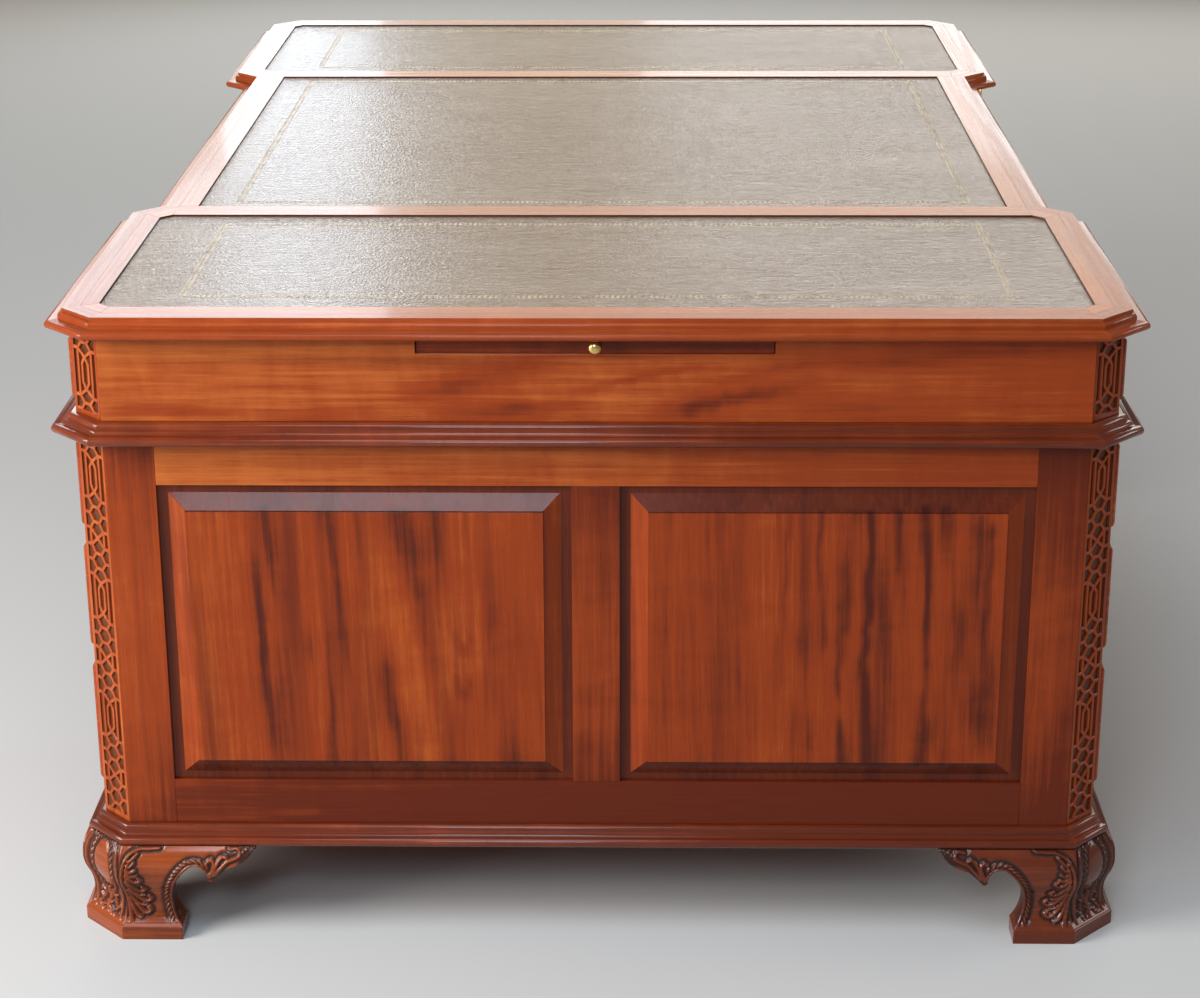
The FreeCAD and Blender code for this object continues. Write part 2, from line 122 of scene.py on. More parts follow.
def newGroup(name, inputs, outputs):
    group = bpy.data.node_groups.new(name, "ShaderNodeTree")
    kinds = {"vector": "NodeSocketVector", "value": "NodeSocketFloat", "color": "NodeSocketColor"}
    for label, kind in inputs.items():
        group.interface.new_socket(label, in_out="INPUT", socket_type=kinds[kind])
    for label, kind in outputs.items():
        group.interface.new_socket(label, in_out="OUTPUT", socket_type=kinds[kind])
    return group, group.nodes.new("NodeGroupInput"), group.nodes.new("NodeGroupOutput")


def newMaterial(name):
    material = bpy.data.materials.new(name)
    material.use_nodes = True
    return material, material.node_tree, material.node_tree.nodes["Principled BSDF"]


# Wood: one figure group, read along each board's own grain
figureValues = {
    "broad": {"stretch": (1.0, 1.0, 0.05), "scale": 8.0, "detail": 2.0, "roughness": 0.5, "distortion": 0.15},
    "ribbon": {"stretch": (1.0, 1.0, 0.035), "scale": 34.0, "detail": 3.0, "roughness": 0.55,
               "distortion": 0.25},
    "streak": {"stretch": (1.0, 1.0, 0.03), "scale": 150.0, "detail": 4.0, "roughness": 0.6},
    "ripple": {"stretch": (0.45, 0.45, 1.0), "scale": 30.0, "detail": 3.0, "roughness": 0.6,
               "distortion": 0.4},
    "pore": {"stretch": (1.0, 1.0, 0.10), "scale": 900.0, "detail": 2.0},
    "line": {"stretch": (1.0, 1.0, 0.03), "scale": 420.0, "detail": 3.0, "roughness": 0.6},
    "weights": {"broad": 0.50, "streak": 0.50, "ripple": 0.24}, "middle": 0.5,
    "midRange": (0.12, 0.50), "lightRange": (0.48, 0.86), "ribbonRange": (0.46, 0.72),
    "lineRange": (0.42, 0.66), "lineDepth": 0.22, "lineColor": (0.62, 0.50, 0.46, 1.0),
    "poreRange": (0.60, 0.72), "poreDepth": 0.28,
    "paintedShadeDepth": 0.94, "paintedShadeRough": 0.35, "paintedShadeColor": (0.018, 0.007, 0.005, 1.0),
    "roughRange": (0.35, 0.65, 0.20, 0.30), "streakHeight": 0.5, "bump": 0.10, "bumpDepth": 0.0003,
}


def makeFigureGroup(values):
    inputs = {"Grain": "vector", "Tone": "value", "Shade": "value", "Ribbon": "value",
              "Light": "color", "Mid": "color", "Dark": "color"}
    outputs = {"Color": "color", "Roughness": "value", "Height": "value"}
    tree, given, result = newGroup("woodFigure", inputs, outputs)
    noises = {name: addNoise(tree, given.outputs["Grain"], **values[name])
              for name in ("broad", "ribbon", "streak", "ripple", "pore", "line")}
    level = addMath(tree, "ADD", given.outputs["Tone"], values["middle"])
    for name, weight in values["weights"].items():
        swing = addMath(tree, "SUBTRACT", noises[name], values["middle"])
        level = addMath(tree, "ADD", level, addMath(tree, "MULTIPLY", swing, weight))
    dark = given.outputs["Dark"]
    color = addMix(tree, addStep(tree, level, *values["midRange"]), dark, given.outputs["Mid"])
    color = addMix(tree, addStep(tree, level, *values["lightRange"]), color, given.outputs["Light"])
    bands = addStep(tree, noises["ribbon"], *values["ribbonRange"])
    color = addMix(tree, addMath(tree, "MULTIPLY", bands, given.outputs["Ribbon"]), color, dark)
    lines = addStep(tree, noises["line"], *values["lineRange"])
    lines = addMath(tree, "MULTIPLY", lines, values["lineDepth"])
    color = addMix(tree, lines, color, values["lineColor"], "MULTIPLY")
    pores = addStep(tree, noises["pore"], *values["poreRange"])
    color = addMix(tree, addMath(tree, "MULTIPLY", pores, values["poreDepth"]), color, dark)
    # Painted shade: where the shade attribute is set, in the recesses of the carved feet and on their backs,
    # the colour darkens toward near black
    paintedShade = addMath(tree, "MULTIPLY", given.outputs["Shade"], values["paintedShadeDepth"])
    color = addMix(tree, paintedShade, color, values["paintedShadeColor"])
    rough = addStep(tree, noises["streak"], *values["roughRange"])
    rough = addMath(tree, "ADD", rough, addMath(tree, "MULTIPLY", paintedShade, values["paintedShadeRough"]))
    height = addMath(tree, "MULTIPLY", noises["streak"], values["streakHeight"])
    height = addMath(tree, "SUBTRACT", height, pores)
    setInputs(tree, result, {"Color": color, "Roughness": rough, "Height": height})
    return tree


figureGroup = makeFigureGroup(figureValues)


def makeWood(name, light, mid, dark, ribbon, gloss):
    material, tree, shader = newMaterial(name)
    grain, tone, shade = (addNode(tree, "ShaderNodeAttribute", attribute_name=label)
                          for label in ("grain", "tone", "shade"))
    inputs = {"Grain": grain.outputs["Vector"], "Tone": tone.outputs["Fac"], "Shade": shade.outputs["Fac"],
              "Ribbon": ribbon, "Light": (*light, 1.0), "Mid": (*mid, 1.0), "Dark": (*dark, 1.0)}
    figure = addNode(tree, "ShaderNodeGroup", inputs, node_tree=figureGroup)
    bump = addNode(tree, "ShaderNodeBump", {
        "Strength": figureValues["bump"], "Distance": figureValues["bumpDepth"],
        "Height": figure.outputs["Height"]})
    setInputs(tree, shader, {
        "Base Color": figure.outputs["Color"], "Roughness": figure.outputs["Roughness"],
        "Normal": bump.outputs["Normal"], "Specular IOR Level": gloss["specular"],
        "Coat Weight": gloss["coat"], "Coat Roughness": gloss["coatRoughness"], "Coat IOR": gloss["coatIor"],
    })
    return material


# Each wood: the light, middle and dark of its figure, how strong its ribbons are, and its finish
polish = {"specular": 0.07, "coat": 0.28, "coatRoughness": 0.07, "coatIor": 1.38}
waxed = {"specular": 0.10, "coat": 0.60, "coatRoughness": 0.09, "coatIor": 1.40}
oiled = {"specular": 0.12, "coat": 0.0, "coatRoughness": 0.3, "coatIor": 1.4}
mouldTones = [(0.44, 0.105, 0.024), (0.25, 0.042, 0.010), (0.10, 0.017, 0.006)]
woods = {
    "case": makeWood("caseMahogany", (0.46, 0.118, 0.023), (0.26, 0.040, 0.0065), (0.10, 0.014, 0.004),
                     0.30, polish),
    "panel": makeWood("ribbonMahogany", (0.40, 0.085, 0.013), (0.235, 0.034, 0.0055), (0.068, 0.011, 0.005),
                      0.62, polish),
    # Panel edges: the top and bottom bevels and the sunk margin take this darker wood, partly end grain and
    # partly painted shade
    "panelEndAndShade": makeWood("panelEndGrainAndShade", (0.15, 0.027, 0.007), (0.095, 0.016, 0.006), (0.040, 0.008, 0.005),
                         0.55, polish),
    "topEdge": makeWood("topEdgeMahogany", *mouldTones, 0.25, polish),
    "mould": makeWood("mouldedMahogany", *mouldTones, 0.25, waxed),
    "carved": makeWood("carvedMahogany", (0.44, 0.125, 0.024), (0.26, 0.051, 0.010), (0.10, 0.018, 0.006),
                       0.25, waxed),
    # Painted shadow: near black wood on the small step around each leather
    "insetPaintedShadow": makeWood("insetPaintedShadow", (0.060, 0.022, 0.012), (0.040, 0.014, 0.009), (0.020, 0.008, 0.006),
                          0.2, oiled),
    # Painted shade: darker wood on the sunk ground behind the fret
    "ground": makeWood("fretGroundPaintedShade", (0.13, 0.036, 0.014), (0.08, 0.022, 0.009), (0.04, 0.012, 0.006),
                       0.2, oiled),
    "lining": makeWood("drawerOak", (0.60, 0.42, 0.24), (0.50, 0.33, 0.18), (0.36, 0.22, 0.11), 0.15, oiled),
}
print("wood finishes ready")


# Boards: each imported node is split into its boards, its edges are eased, and each board gets its own grain
boardValues = {"ease": 0.0005, "easeSteps": 2, "easeAngle": 25.0, "sharpAngle": 38.0, "flatAngle": 0.6,
               "arrisAngle": 0.3, "flatWidth": 0.0026, "toneSpread": 0.05, "shift": 9}


def splitBoards(mesh):
    ids, places, merged = {}, [], []
    for vertex in mesh.vertices:
        key = tuple(round(value, 6) for value in vertex.co)
        if key not in ids:
            ids[key] = len(places)
            places.append(vertex.co.copy())
        merged.append(ids[key])
    boards, faces, openEdges = [], [], set()
    for polygon in mesh.polygons:
        ring = [merged[index] for index in polygon.vertices]
        if len(set(ring)) < 3:
            continue
        faces.append(ring)
        for first, second in zip(ring, ring[1:] + ring[:1]):
            openEdges ^= {(min(first, second), max(first, second))}
        if not openEdges:
            boards.append(faces)
            faces = []
    shapes = [boardShape(places, rings) for rings in boards]
    return sorted(shapes, key=lambda shape: tuple(round(value, 4) for value in middleOf(shape)))


def boardShape(places, rings):
    shape = bmesh.new()
    used = {}
    for ring in rings:
        for index in ring:
            if index not in used:
                used[index] = shape.verts.new(places[index])
        shape.faces.new([used[index] for index in ring])
    limit = math.radians(boardValues["flatAngle"])
    bmesh.ops.dissolve_limit(shape, angle_limit=limit, verts=shape.verts, edges=shape.edges)
    return shape


def extentOf(shape):
    points = [vert.co for vert in shape.verts]
    low = Vector([min(point[axis] for point in points) for axis in range(3)])
    high = Vector([max(point[axis] for point in points) for axis in range(3)])
    return low, high


def middleOf(shape):
    low, high = extentOf(shape)
    return (low + high) / 2


def grainOf(shape):
    limit = boardValues["arrisAngle"]
    arrises = [edge for edge in shape.edges if edge.is_manifold and edge.calc_face_angle() > limit]
    longest = max(arrises, key=lambda edge: edge.calc_length())
    return (longest.verts[1].co - longest.verts[0].co).normalized()


def easeEdges(shape, radius):
    limit = math.radians(boardValues["easeAngle"])
    edges = [edge for edge in shape.edges if edge.is_manifold and edge.calc_face_angle() > limit]
    bmesh.ops.bevel(shape, geom=edges, offset=radius, segments=boardValues["easeSteps"], profile=0.5,
                    affect="EDGES", clamp_overlap=True)


def shadeBoard(shape):
    for face in shape.faces:
        longest = max(edge.calc_length() for edge in face.edges)
        face.smooth = face.calc_area() / longest < boardValues["flatWidth"]
    limit = math.radians(boardValues["sharpAngle"])
    for edge in shape.edges:
        edge.smooth = not (edge.is_manifold and edge.calc_face_angle() > limit)


def newPiece():
    return {"points": [], "faces": [], "smooth": [], "slots": [], "sharp": set(),
            "grain": [], "tone": [], "shade": []}


def fixOrder(shape):
    # Puts points and faces in the order of their places, so that each run gives the same mesh
    pointPlace, facePlace = lambda vert: tuple(vert.co), lambda face: tuple(face.calc_center_median())
    for items, placeOf in ((shape.verts, pointPlace), (shape.faces, facePlace)):
        for index, item in enumerate(sorted(items, key=placeOf)):
            item.index = index
        items.sort()


def gridBoard(shape, stepY, stepZ):
    # Cuts a board into small cells, so that its figure can follow the tone of its points
    low, high = extentOf(shape)
    for axis, step in ((1, stepY), (2, stepZ)):
        normal = Vector((0, 0, 0))
        normal[axis] = 1.0
        for place in np.arange(low[axis] + step, high[axis] - step / 2, step):
            geometry = shape.verts[:] + shape.edges[:] + shape.faces[:]
            bmesh.ops.bisect_plane(shape, geom=geometry, plane_co=normal * place, plane_no=normal, dist=1e-6)
    fixOrder(shape)


def addBoard(piece, shape, grain, seed, slotOf, tilt=0.0, tone=0.0, figure=None):
    draw = random.Random(seed)
    side = grain.orthogonal().normalized()
    turn = Matrix.Rotation(math.radians(tilt), 3, side.cross(grain))
    along = turn @ grain
    across = (turn @ side).normalized()
    depth = along.cross(across)
    shift = Vector([draw.uniform(0, boardValues["shift"]) for axis in range(3)])
    boardTone = tone + draw.uniform(-1, 1) * boardValues["toneSpread"]
    start = len(piece["points"])
    shape.verts.index_update()
    for vert in shape.verts:
        piece["points"].append(tuple(vert.co))
        local = Vector((vert.co.dot(across), vert.co.dot(depth), vert.co.dot(along)))
        piece["grain"].append(local + shift)
        piece["tone"].append(boardTone + (figure(vert.co) if figure else 0.0))
        piece["shade"].append(0.0)
    for face in shape.faces:
        piece["faces"].append([start + vert.index for vert in face.verts])
        piece["smooth"].append(face.smooth)
        piece["slots"].append(slotOf(face))
    for edge in shape.edges:
        if not edge.smooth:
            piece["sharp"].add(tuple(sorted(start + vert.index for vert in edge.verts)))


def setAttribute(mesh, name, kind, field, values):
    attribute = mesh.attributes.new(name, kind, "POINT")
    attribute.data.foreach_set(field, np.asarray(values, dtype=np.float32).ravel())


def finishPiece(name, piece, materials, node):
    mesh = bpy.data.meshes.new(name)
    mesh.from_pydata(piece["points"], [], piece["faces"])
    mesh.polygons.foreach_set("use_smooth", piece["smooth"])
    for material in materials:
        mesh.materials.append(material)
    mesh.polygons.foreach_set("material_index", piece["slots"])
    if piece["sharp"]:
        isSharp = [tuple(sorted(edge.vertices)) in piece["sharp"] for edge in mesh.edges]
        mesh.attributes.new("sharp_edge", "BOOLEAN", "EDGE").data.foreach_set("value", isSharp)
    setAttribute(mesh, "grain", "FLOAT_VECTOR", "vector", piece["grain"])
    setAttribute(mesh, "tone", "FLOAT", "value", piece["tone"])
    setAttribute(mesh, "shade", "FLOAT", "value", piece["shade"])
    mesh.update()
    placePiece(name, mesh, node)


def placePiece(name, mesh, node):
    thing = bpy.data.objects.new(name, mesh)
    bpy.context.scene.collection.objects.link(thing)
    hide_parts(node)
    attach(thing, nodes[node]["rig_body"])


# Figure of the end panels and frieze ends: each dark ribbon is a run of points, each with its share
# along the grain, its place across and its half width in millimetres, and its strength
figureDepth = {"panel": 0.42, "rightPanelDarker": 0.08, "frieze": 0.55, "friezeLightFall": 0.24, "frameShadeFall": 0.30,
               "uprightFall": 0.24, "uprightMiddle": 0.2, "wave": 1.6, "waveTurns": 31, "fade": 0.5}
knotValues = {"radius": 0.0045, "light": 0.35, "rim": 0.22, "rimReach": 2.0,
              "places": [(359, 0.49), (358, 0.345)]}
leftRibbons = [
    [(0.92, 115, 5, 0.1), (0.74, 116, 6, 0.45), (0.50, 123, 4, 0.9), (0.30, 126, 5, 0.8),
     (0.08, 132, 5, 0.3)],
    [(0.92, 132, 5, 0.65), (0.76, 138, 5, 0.6), (0.60, 141, 3, 0.0)],
    [(0.56, 141, 4, 0.0), (0.35, 141, 5, 0.4), (0.22, 141, 6, 0.5), (0.08, 142, 5, 0.3)],
    [(0.62, 174, 3, 0.0), (0.46, 177, 4, 0.45), (0.32, 176, 4, 0.0)],
    [(0.92, 203, 8, 0.7), (0.72, 211, 5, 0.55), (0.50, 217, 6, 0.55), (0.30, 226, 6, 0.0)],
    [(0.58, 199, 3, 0.0), (0.36, 200, 3, 0.5), (0.14, 201, 5, 0.65), (0.08, 201, 5, 0.5)],
    [(0.92, 240, 5, 0.4), (0.76, 244, 4, 0.5), (0.58, 243, 4, 0.0)],
    [(0.44, 228, 4, 0.0), (0.26, 230, 5, 0.4), (0.08, 229, 8, 0.45)],
    [(0.92, 290, 16, 1.0), (0.80, 296, 15, 1.0), (0.64, 308, 10, 0.85), (0.45, 319, 7, 0.6),
     (0.20, 326, 5, 0.0)],
    [(0.92, 326, 9, 0.9), (0.78, 331, 9, 0.9), (0.58, 332, 6, 0.0)],
    [(0.60, 262, 5, 0.0), (0.38, 268, 8, 0.9), (0.24, 275, 9, 1.0), (0.08, 285, 9, 0.8)],
    [(0.80, 394, 4, 0.0), (0.54, 391, 6, 0.5), (0.24, 386, 4, 0.0)],
    [(0.36, 340, 5, 0.0), (0.22, 341, 5, 0.35), (0.08, 342, 7, 0.5)],
    [(0.40, 406, 7, 0.0), (0.16, 413, 13, 0.6), (0.08, 415, 14, 0.65)],
    [(0.92, 360, 16, 0.1), (0.50, 420, 22, 0.3), (0.08, 352, 18, 0.3)],
    [(0.92, 447, 7, 0.5), (0.74, 446, 4, 0.0)],
]
rightRibbons = [
    [(0.92, 201, 4, 0.65), (0.64, 199, 3, 0.5), (0.40, 196, 3, 0.2), (0.20, 196, 3, 0.0)],
    [(0.92, 220, 5, 0.3), (0.64, 223, 7, 0.45), (0.48, 222, 9, 0.6), (0.36, 222, 5, 0.0)],
    [(0.92, 238, 4, 0.7), (0.70, 238, 3, 0.5), (0.50, 244, 5, 0.4), (0.38, 243, 4, 0.0)],
    [(0.92, 274, 7, 0.4), (0.66, 270, 8, 0.5), (0.36, 262, 4, 0.65), (0.22, 260, 3, 0.0)],
    [(0.28, 264, 3, 0.0), (0.20, 266, 5, 0.75), (0.08, 271, 7, 0.6)],
    [(0.92, 297, 4, 0.85), (0.60, 298, 4, 0.85), (0.40, 292, 5, 0.7), (0.25, 295, 7, 0.85),
     (0.08, 303, 9, 0.75)],
    [(0.84, 308, 6, 0.2), (0.55, 315, 8, 0.45), (0.34, 318, 6, 0.2), (0.08, 324, 8, 0.3)],
    [(0.92, 329, 4, 0.5), (0.78, 332, 4, 0.45), (0.52, 337, 3, 0.0)],
    [(0.92, 358, 5, 0.5), (0.66, 364, 4, 0.7), (0.35, 367, 4, 0.4), (0.20, 366, 8, 0.75),
     (0.08, 366, 8, 0.7)],
    [(0.92, 381, 6, 0.45), (0.66, 388, 4, 0.0)],
    [(0.74, 399, 4, 0.0), (0.48, 401, 6, 0.5), (0.28, 400, 4, 0.0)],
    [(0.90, 424, 5, 0.2), (0.68, 424, 6, 0.35), (0.48, 423, 4, 0.0)],
    [(0.88, 438, 4, 0.4), (0.55, 434, 4, 0.5), (0.36, 436, 8, 0.5), (0.20, 437, 11, 0.6),
     (0.10, 437, 8, 0.0)],
    [(0.40, 212, 3, 0.0), (0.24, 213, 4, 0.55), (0.08, 215, 4, 0.4)],
    [(0.30, 230, 6, 0.0), (0.18, 229, 7, 0.45), (0.08, 228, 7, 0.4)],
    [(0.92, 140, 14, 0.2), (0.40, 156, 14, 0.25), (0.08, 158, 12, 0.25)],
]
friezeRibbons = [
    [(0.00, 16, 5, 0.1), (0.08, 11, 5, 0.55), (0.16, 16, 4, 0.0)],
    [(0.14, 8, 5, 0.0), (0.22, 11, 6, 0.3), (0.30, 12, 6, 0.0)],
    [(0.28, 22, 8, 0.0), (0.35, 41, 10, 0.5), (0.42, 62, 11, 0.45), (0.48, 78, 10, 0.0)],
    [(0.33, 12, 7, 0.1), (0.42, 13, 8, 0.65), (0.50, 21, 6, 0.0)],
    [(0.46, 30, 3, 0.0), (0.54, 52, 3, 0.45), (0.63, 74, 3, 0.0)],
    [(0.55, 12, 8, 0.1), (0.60, 19, 9, 0.8), (0.66, 32, 8, 0.6), (0.74, 46, 8, 0.0)],
    [(0.60, 42, 3, 0.0), (0.68, 62, 3, 0.4), (0.76, 76, 3, 0.0)],
    [(0.66, 70, 8, 0.0), (0.80, 76, 9, 0.4), (0.92, 86, 8, 0.3), (1.00, 90, 8, 0.1)],
    [(0.64, 15, 7, 0.0), (0.76, 19, 8, 0.3), (0.88, 14, 7, 0.0)],
]


def ribbonDark(ribbons, along, across):
    clear = 1.0
    for ribbon in ribbons:
        shares, places, halves, strengths = zip(*sorted(ribbon))
        if shares[0] <= along <= shares[-1]:
            place, half, strength = (np.interp(along, shares, row) for row in (places, halves, strengths))
            wave = figureDepth["wave"] * math.sin(along * figureDepth["waveTurns"] + place)
            gap = (across - place - wave) / half
            clear *= 1.0 - strength * math.exp(-gap * gap * figureDepth["fade"])
    return 1.0 - clear


def fromLeft(point, low, high):
    # Distance from a board's left edge, as seen from outside its end of the desk
    return point.y - low.y if low.x > 0 else high.y - point.y


def panelFigure(low, high):
    # Tone of one panel: dark ribbons, with knots on the left one and a darker right one
    isLeft = (low.y + high.y) * low.x < 0
    ribbons, knots = (leftRibbons, knotValues["places"]) if isLeft else (rightRibbons, [])
    rightPanelDarker = 0.0 if isLeft else figureDepth["rightPanelDarker"]
    tall = high.z - low.z

    def figure(point):
        across, share = fromLeft(point, low, high) * mmPerMetre, (point.z - low.z) / tall
        tone = -figureDepth["panel"] * ribbonDark(ribbons, share, across) - rightPanelDarker
        for place, height in knots:
            reach = math.hypot((across - place) / mmPerMetre, (share - height) * tall) / knotValues["radius"]
            tone += knotValues["light"] * math.exp(-reach * reach)
            tone -= knotValues["rim"] * math.exp(-(reach - knotValues["rimReach"]) ** 2)
        return tone

    return figure


def friezeFigure(low, high):
    # Tone of one frieze end: lighter at its left as painted light, with sweeping ribbons near its lower edge
    def figure(point):
        share, height = fromLeft(point, low, high) / (high.y - low.y), (point.z - low.z) * mmPerMetre
        dark = figureDepth["frieze"] * ribbonDark(friezeRibbons, share, height)
        return figureDepth["friezeLightFall"] * (0.5 - share) - dark

    return figure


def frameFigure(low, high):
    # Rails darken toward the right as seen from outside, a painted shade, and uprights toward their ends
    facing = math.copysign(1, low.x)
    middle, size = (low + high) / 2, high - low

    def railTone(point):
        return -figureDepth["frameShadeFall"] * facing * (point.y - middle.y) / size.y

    def uprightTone(point):
        fromMiddle = 2 * (point.z - middle.z) / size.z
        return figureDepth["uprightFall"] * (figureDepth["uprightMiddle"] - fromMiddle ** 2)

    return railTone if size.y > size.z else uprightTone


# What each kind of node is made of; grain is along the longest edge unless an axis is given
upright = Vector((0, 0, 1))
boardStyles = {
    "top_board": {"wood": "case", "ease": 0.0003, "tone": 0.12},
    "top_moulding": {"wood": "topEdge", "ease": 0.0004},
    "waist_moulding": {"wood": "mould", "ease": 0.0004, "tone": -0.32},
    "base_moulding": {"wood": "mould", "ease": 0.0004, "tone": -0.34},
    "frieze_ends": {"wood": "case", "ease": 0.0006, "tone": 0.09, "figure": friezeFigure,
                    "grid": (0.008, 0.005)},
    "frieze_rails": {"wood": "case"},
    "frieze_inner_frame": {"wood": "case", "tone": -0.15},
    # Posts and end frames: painted light on the left and painted shade on the right as seen from outside; on
    # the frame, lower boards are darker as painted shade
    "corner_posts": {"wood": "case", "ease": 0.0005, "tone": 0.0, "paintedSideShade": 0.16},
    "end_frame": {"wood": "case", "ease": 0.0006, "tone": -0.15, "paintedHeightShade": 0.54, "paintedSideShade": 0.24,
                  "figure": frameFigure, "grid": (0.03, 0.06)},
    "end_panels": {"wood": "panel", "ease": 0.0004, "grain": upright, "tilt": 2.0, "tone": 0.07,
                   "figure": panelFigure, "grid": (0.0022, 0.014)},
    "pedestal_carcase": {"wood": "case", "tone": -0.05},
    "brushing_slide": {"wood": "case", "tone": -0.25},
    "drawer": {"wood": "case", "ease": 0.0004},
}


def styleOf(node):
    if node.endswith("_drawer"):
        return boardStyles["drawer"]
    return next(style for key, style in boardStyles.items() if node.startswith(key))


# How far a face may lean or stand back and still count, as parts of its normal and in metres
faceLimits = {"upright": 0.5, "cantSkew": 0.2, "groundDepth": 0.001, "bevelLean": 0.15, "flat": 0.98,
              "fieldRise": 0.004, "insetDepth": 0.001, "frontDepth": 0.001}


def isGround(face, shape):
    # A face of the sunk ground on a canted post: it stands back from the post's canted face, and takes a
    # darker wood as painted shade
    normal = face.normal
    isCanted = abs(abs(normal.x) - abs(normal.y)) <= faceLimits["cantSkew"]
    if abs(normal.z) > faceLimits["upright"] or not isCanted:
        return False
    reach = max(vert.co.dot(normal) for vert in shape.verts)
    return reach - face.calc_center_median().dot(normal) > faceLimits["groundDepth"]


def isPanelEdge(face, reach):
    # The top and bottom bevels with their shoulders, which cut across the grain, and the flat margin around a
    # panel's raised field; their darker wood is partly end grain and partly painted shade
    isSunk = reach - abs(face.calc_center_median().x) > faceLimits["fieldRise"]
    isFlat = abs(face.normal.x) > faceLimits["flat"]
    return abs(face.normal.z) > faceLimits["bevelLean"] or (isFlat and isSunk)


def isInsetEdge(face, top):
    # The small upright step around each leather, which takes a painted shadow
    isUpright = abs(face.normal.z) < faceLimits["upright"]
    return isUpright and max(vert.co.z for vert in face.verts) > top - faceLimits["insetDepth"]


def slotRule(node, shape, inside):
    # Which faces take the second wood: painted shade on panel edges (with their end grain), on fret grounds
    # and on the steps around the leathers, and the oak lining inside drawers
    if node.startswith("end_panels"):
        reach = max(abs(vert.co.x) for vert in shape.verts)
        return lambda face: int(isPanelEdge(face, reach))
    if node.startswith("corner_posts"):
        return lambda face: int(isGround(face, shape))
    if node == "top_board":
        top = max(vert.co.z for vert in shape.verts)
        return lambda face: int(isInsetEdge(face, top))
    return lambda face: int(inside)


shadeOrLiningWood = {"end_panels": "panelEndAndShade", "corner_posts": "ground", "top_board": "insetPaintedShadow"}


def dressNode(node):
    style = styleOf(node)
    piece = newPiece()
    nodeLow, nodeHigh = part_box(node)
    middle, size = (nodeLow + nodeHigh) / 2, nodeHigh - nodeLow
    isDrawer = node.endswith("_drawer")
    front = max(abs(nodeLow.y), abs(nodeHigh.y)) - faceLimits["frontDepth"]
    second = next((finish for key, finish in shadeOrLiningWood.items() if node.startswith(key)), "lining")
    for index, shape in enumerate(splitBoards(nodes[node].data)):
        grain = style.get("grain") or grainOf(shape)
        low, high = extentOf(shape)
        inside = isDrawer and max(abs(low.y), abs(high.y)) < front
        easeEdges(shape, style.get("ease", boardValues["ease"]))
        shadeBoard(shape)
        figure = style["figure"](low, high) if "figure" in style else None
        if figure:
            gridBoard(shape, *style["grid"])
        place = (low + high) / 2 - middle
        toRight = place.y * math.copysign(1, middle.x) / size.y
        # Painted light and shade: boards higher up and to the left as seen from outside are lighter, boards
        # lower down and to the right darker
        tone = style.get("tone", 0.0) + style.get("paintedHeightShade", 0.0) * place.z / size.z
        tone -= style.get("paintedSideShade", 0.0) * toRight
        slotOf = slotRule(node, shape, inside)
        addBoard(piece, shape, grain, f"{node} {index}", slotOf, style.get("tilt", 0.0), tone, figure)
        shape.free()
    finishPiece("polished_" + node, piece, [woods[style["wood"]], woods[second]], node)


otherNodes = ("leather", "bracket_feet", "knob")
for nodeName in sorted(nodes):
    if not any(word in nodeName for word in otherNodes):
        dressNode(nodeName)
print("boards dressed")


# Blind fret on the canted posts: a planar web of bars. A stage's points are shares of the ground's
# width and of the stage's length, and its bars are pairs of points
fretValues = {"border": 0.0045, "end": 0.006, "depth": 0.0025, "bar": 0.0040, "ease": 0.00035,
              "easeAngle": 60.0, "leastSine": 0.2, "tone": 0.03, "paintedShadeToRight": 0.08}
longStage = {
    "size": 57.0,
    "points": {"a": (0.19, 0), "b": (0.81, 0), "c": (0.50, 0.16), "d": (0.36, 0.30), "e": (0.64, 0.30),
               "f": (0.36, 0.70), "g": (0.64, 0.70), "h": (0.50, 0.84), "i": (0.19, 1), "j": (0.81, 1),
               "k": (0, 0), "l": (1, 0), "m": (0, 1), "n": (1, 1)},
    "bars": "ka bl ac bc cd ce df eg fh gh hi hj ai bj mi nj",
}
smallStage = {
    "size": 38.0,
    "points": {"a": (0.19, 0), "b": (0.81, 0), "c": (0.37, 0.25), "d": (0.63, 0.25), "e": (0.19, 0.5),
               "f": (0.81, 0.5), "g": (0.37, 0.75), "h": (0.63, 0.75), "i": (0.19, 1), "j": (0.81, 1),
               "k": (0, 0.5), "l": (1, 0.5)},
    "bars": "ac bd cd ce df ke lf eg fh gh gi hj",
}
crossStage = {
    "size": 21.0,
    "points": {"a": (0.19, 0), "b": (0.81, 0), "c": (0.50, 0.5), "d": (0.19, 1), "e": (0.81, 1),
               "f": (0, 0), "g": (1, 0), "h": (0, 1), "i": (1, 1)},
    "bars": "ac bc cd ce ad be fa gb hd ie",
}
halfStage = {
    "size": 17.0,
    "points": {"a": (0.19, 0), "b": (0.81, 0), "c": (0.37, 0.5), "d": (0.63, 0.5), "e": (0.19, 1),
               "f": (0.81, 1), "g": (0, 0), "h": (1, 0)},
    "bars": "ac bd cd ce df ga hb",
}
halfTurned = {"size": halfStage["size"], "bars": halfStage["bars"],
              "points": {key: (across, 1 - along) for key, (across, along) in halfStage["points"].items()}}
postFret = [halfStage] + 3 * [longStage, smallStage, crossStage, smallStage]
friezeFret = [halfStage, longStage, halfTurned]


def fretWeb(stages, width, length):
    # Joins the stages end to end, downward from the top
    total = sum(stage["size"] for stage in stages)
    places, bars, start = {}, set(), 0.0
    for stage in stages:
        size = stage["size"] / total * length
        ids = {}
        for key, (across, along) in stage["points"].items():
            place = (round((across - 0.5) * width, 6), round(length / 2 - start - along * size, 6))
            ids[key] = places.setdefault(place, len(places))
        bars |= {tuple(sorted((ids[pair[0]], ids[pair[1]]))) for pair in stage["bars"].split()}
        start += size
    return [Vector((*place, 0)) for place in places], sorted(bars)


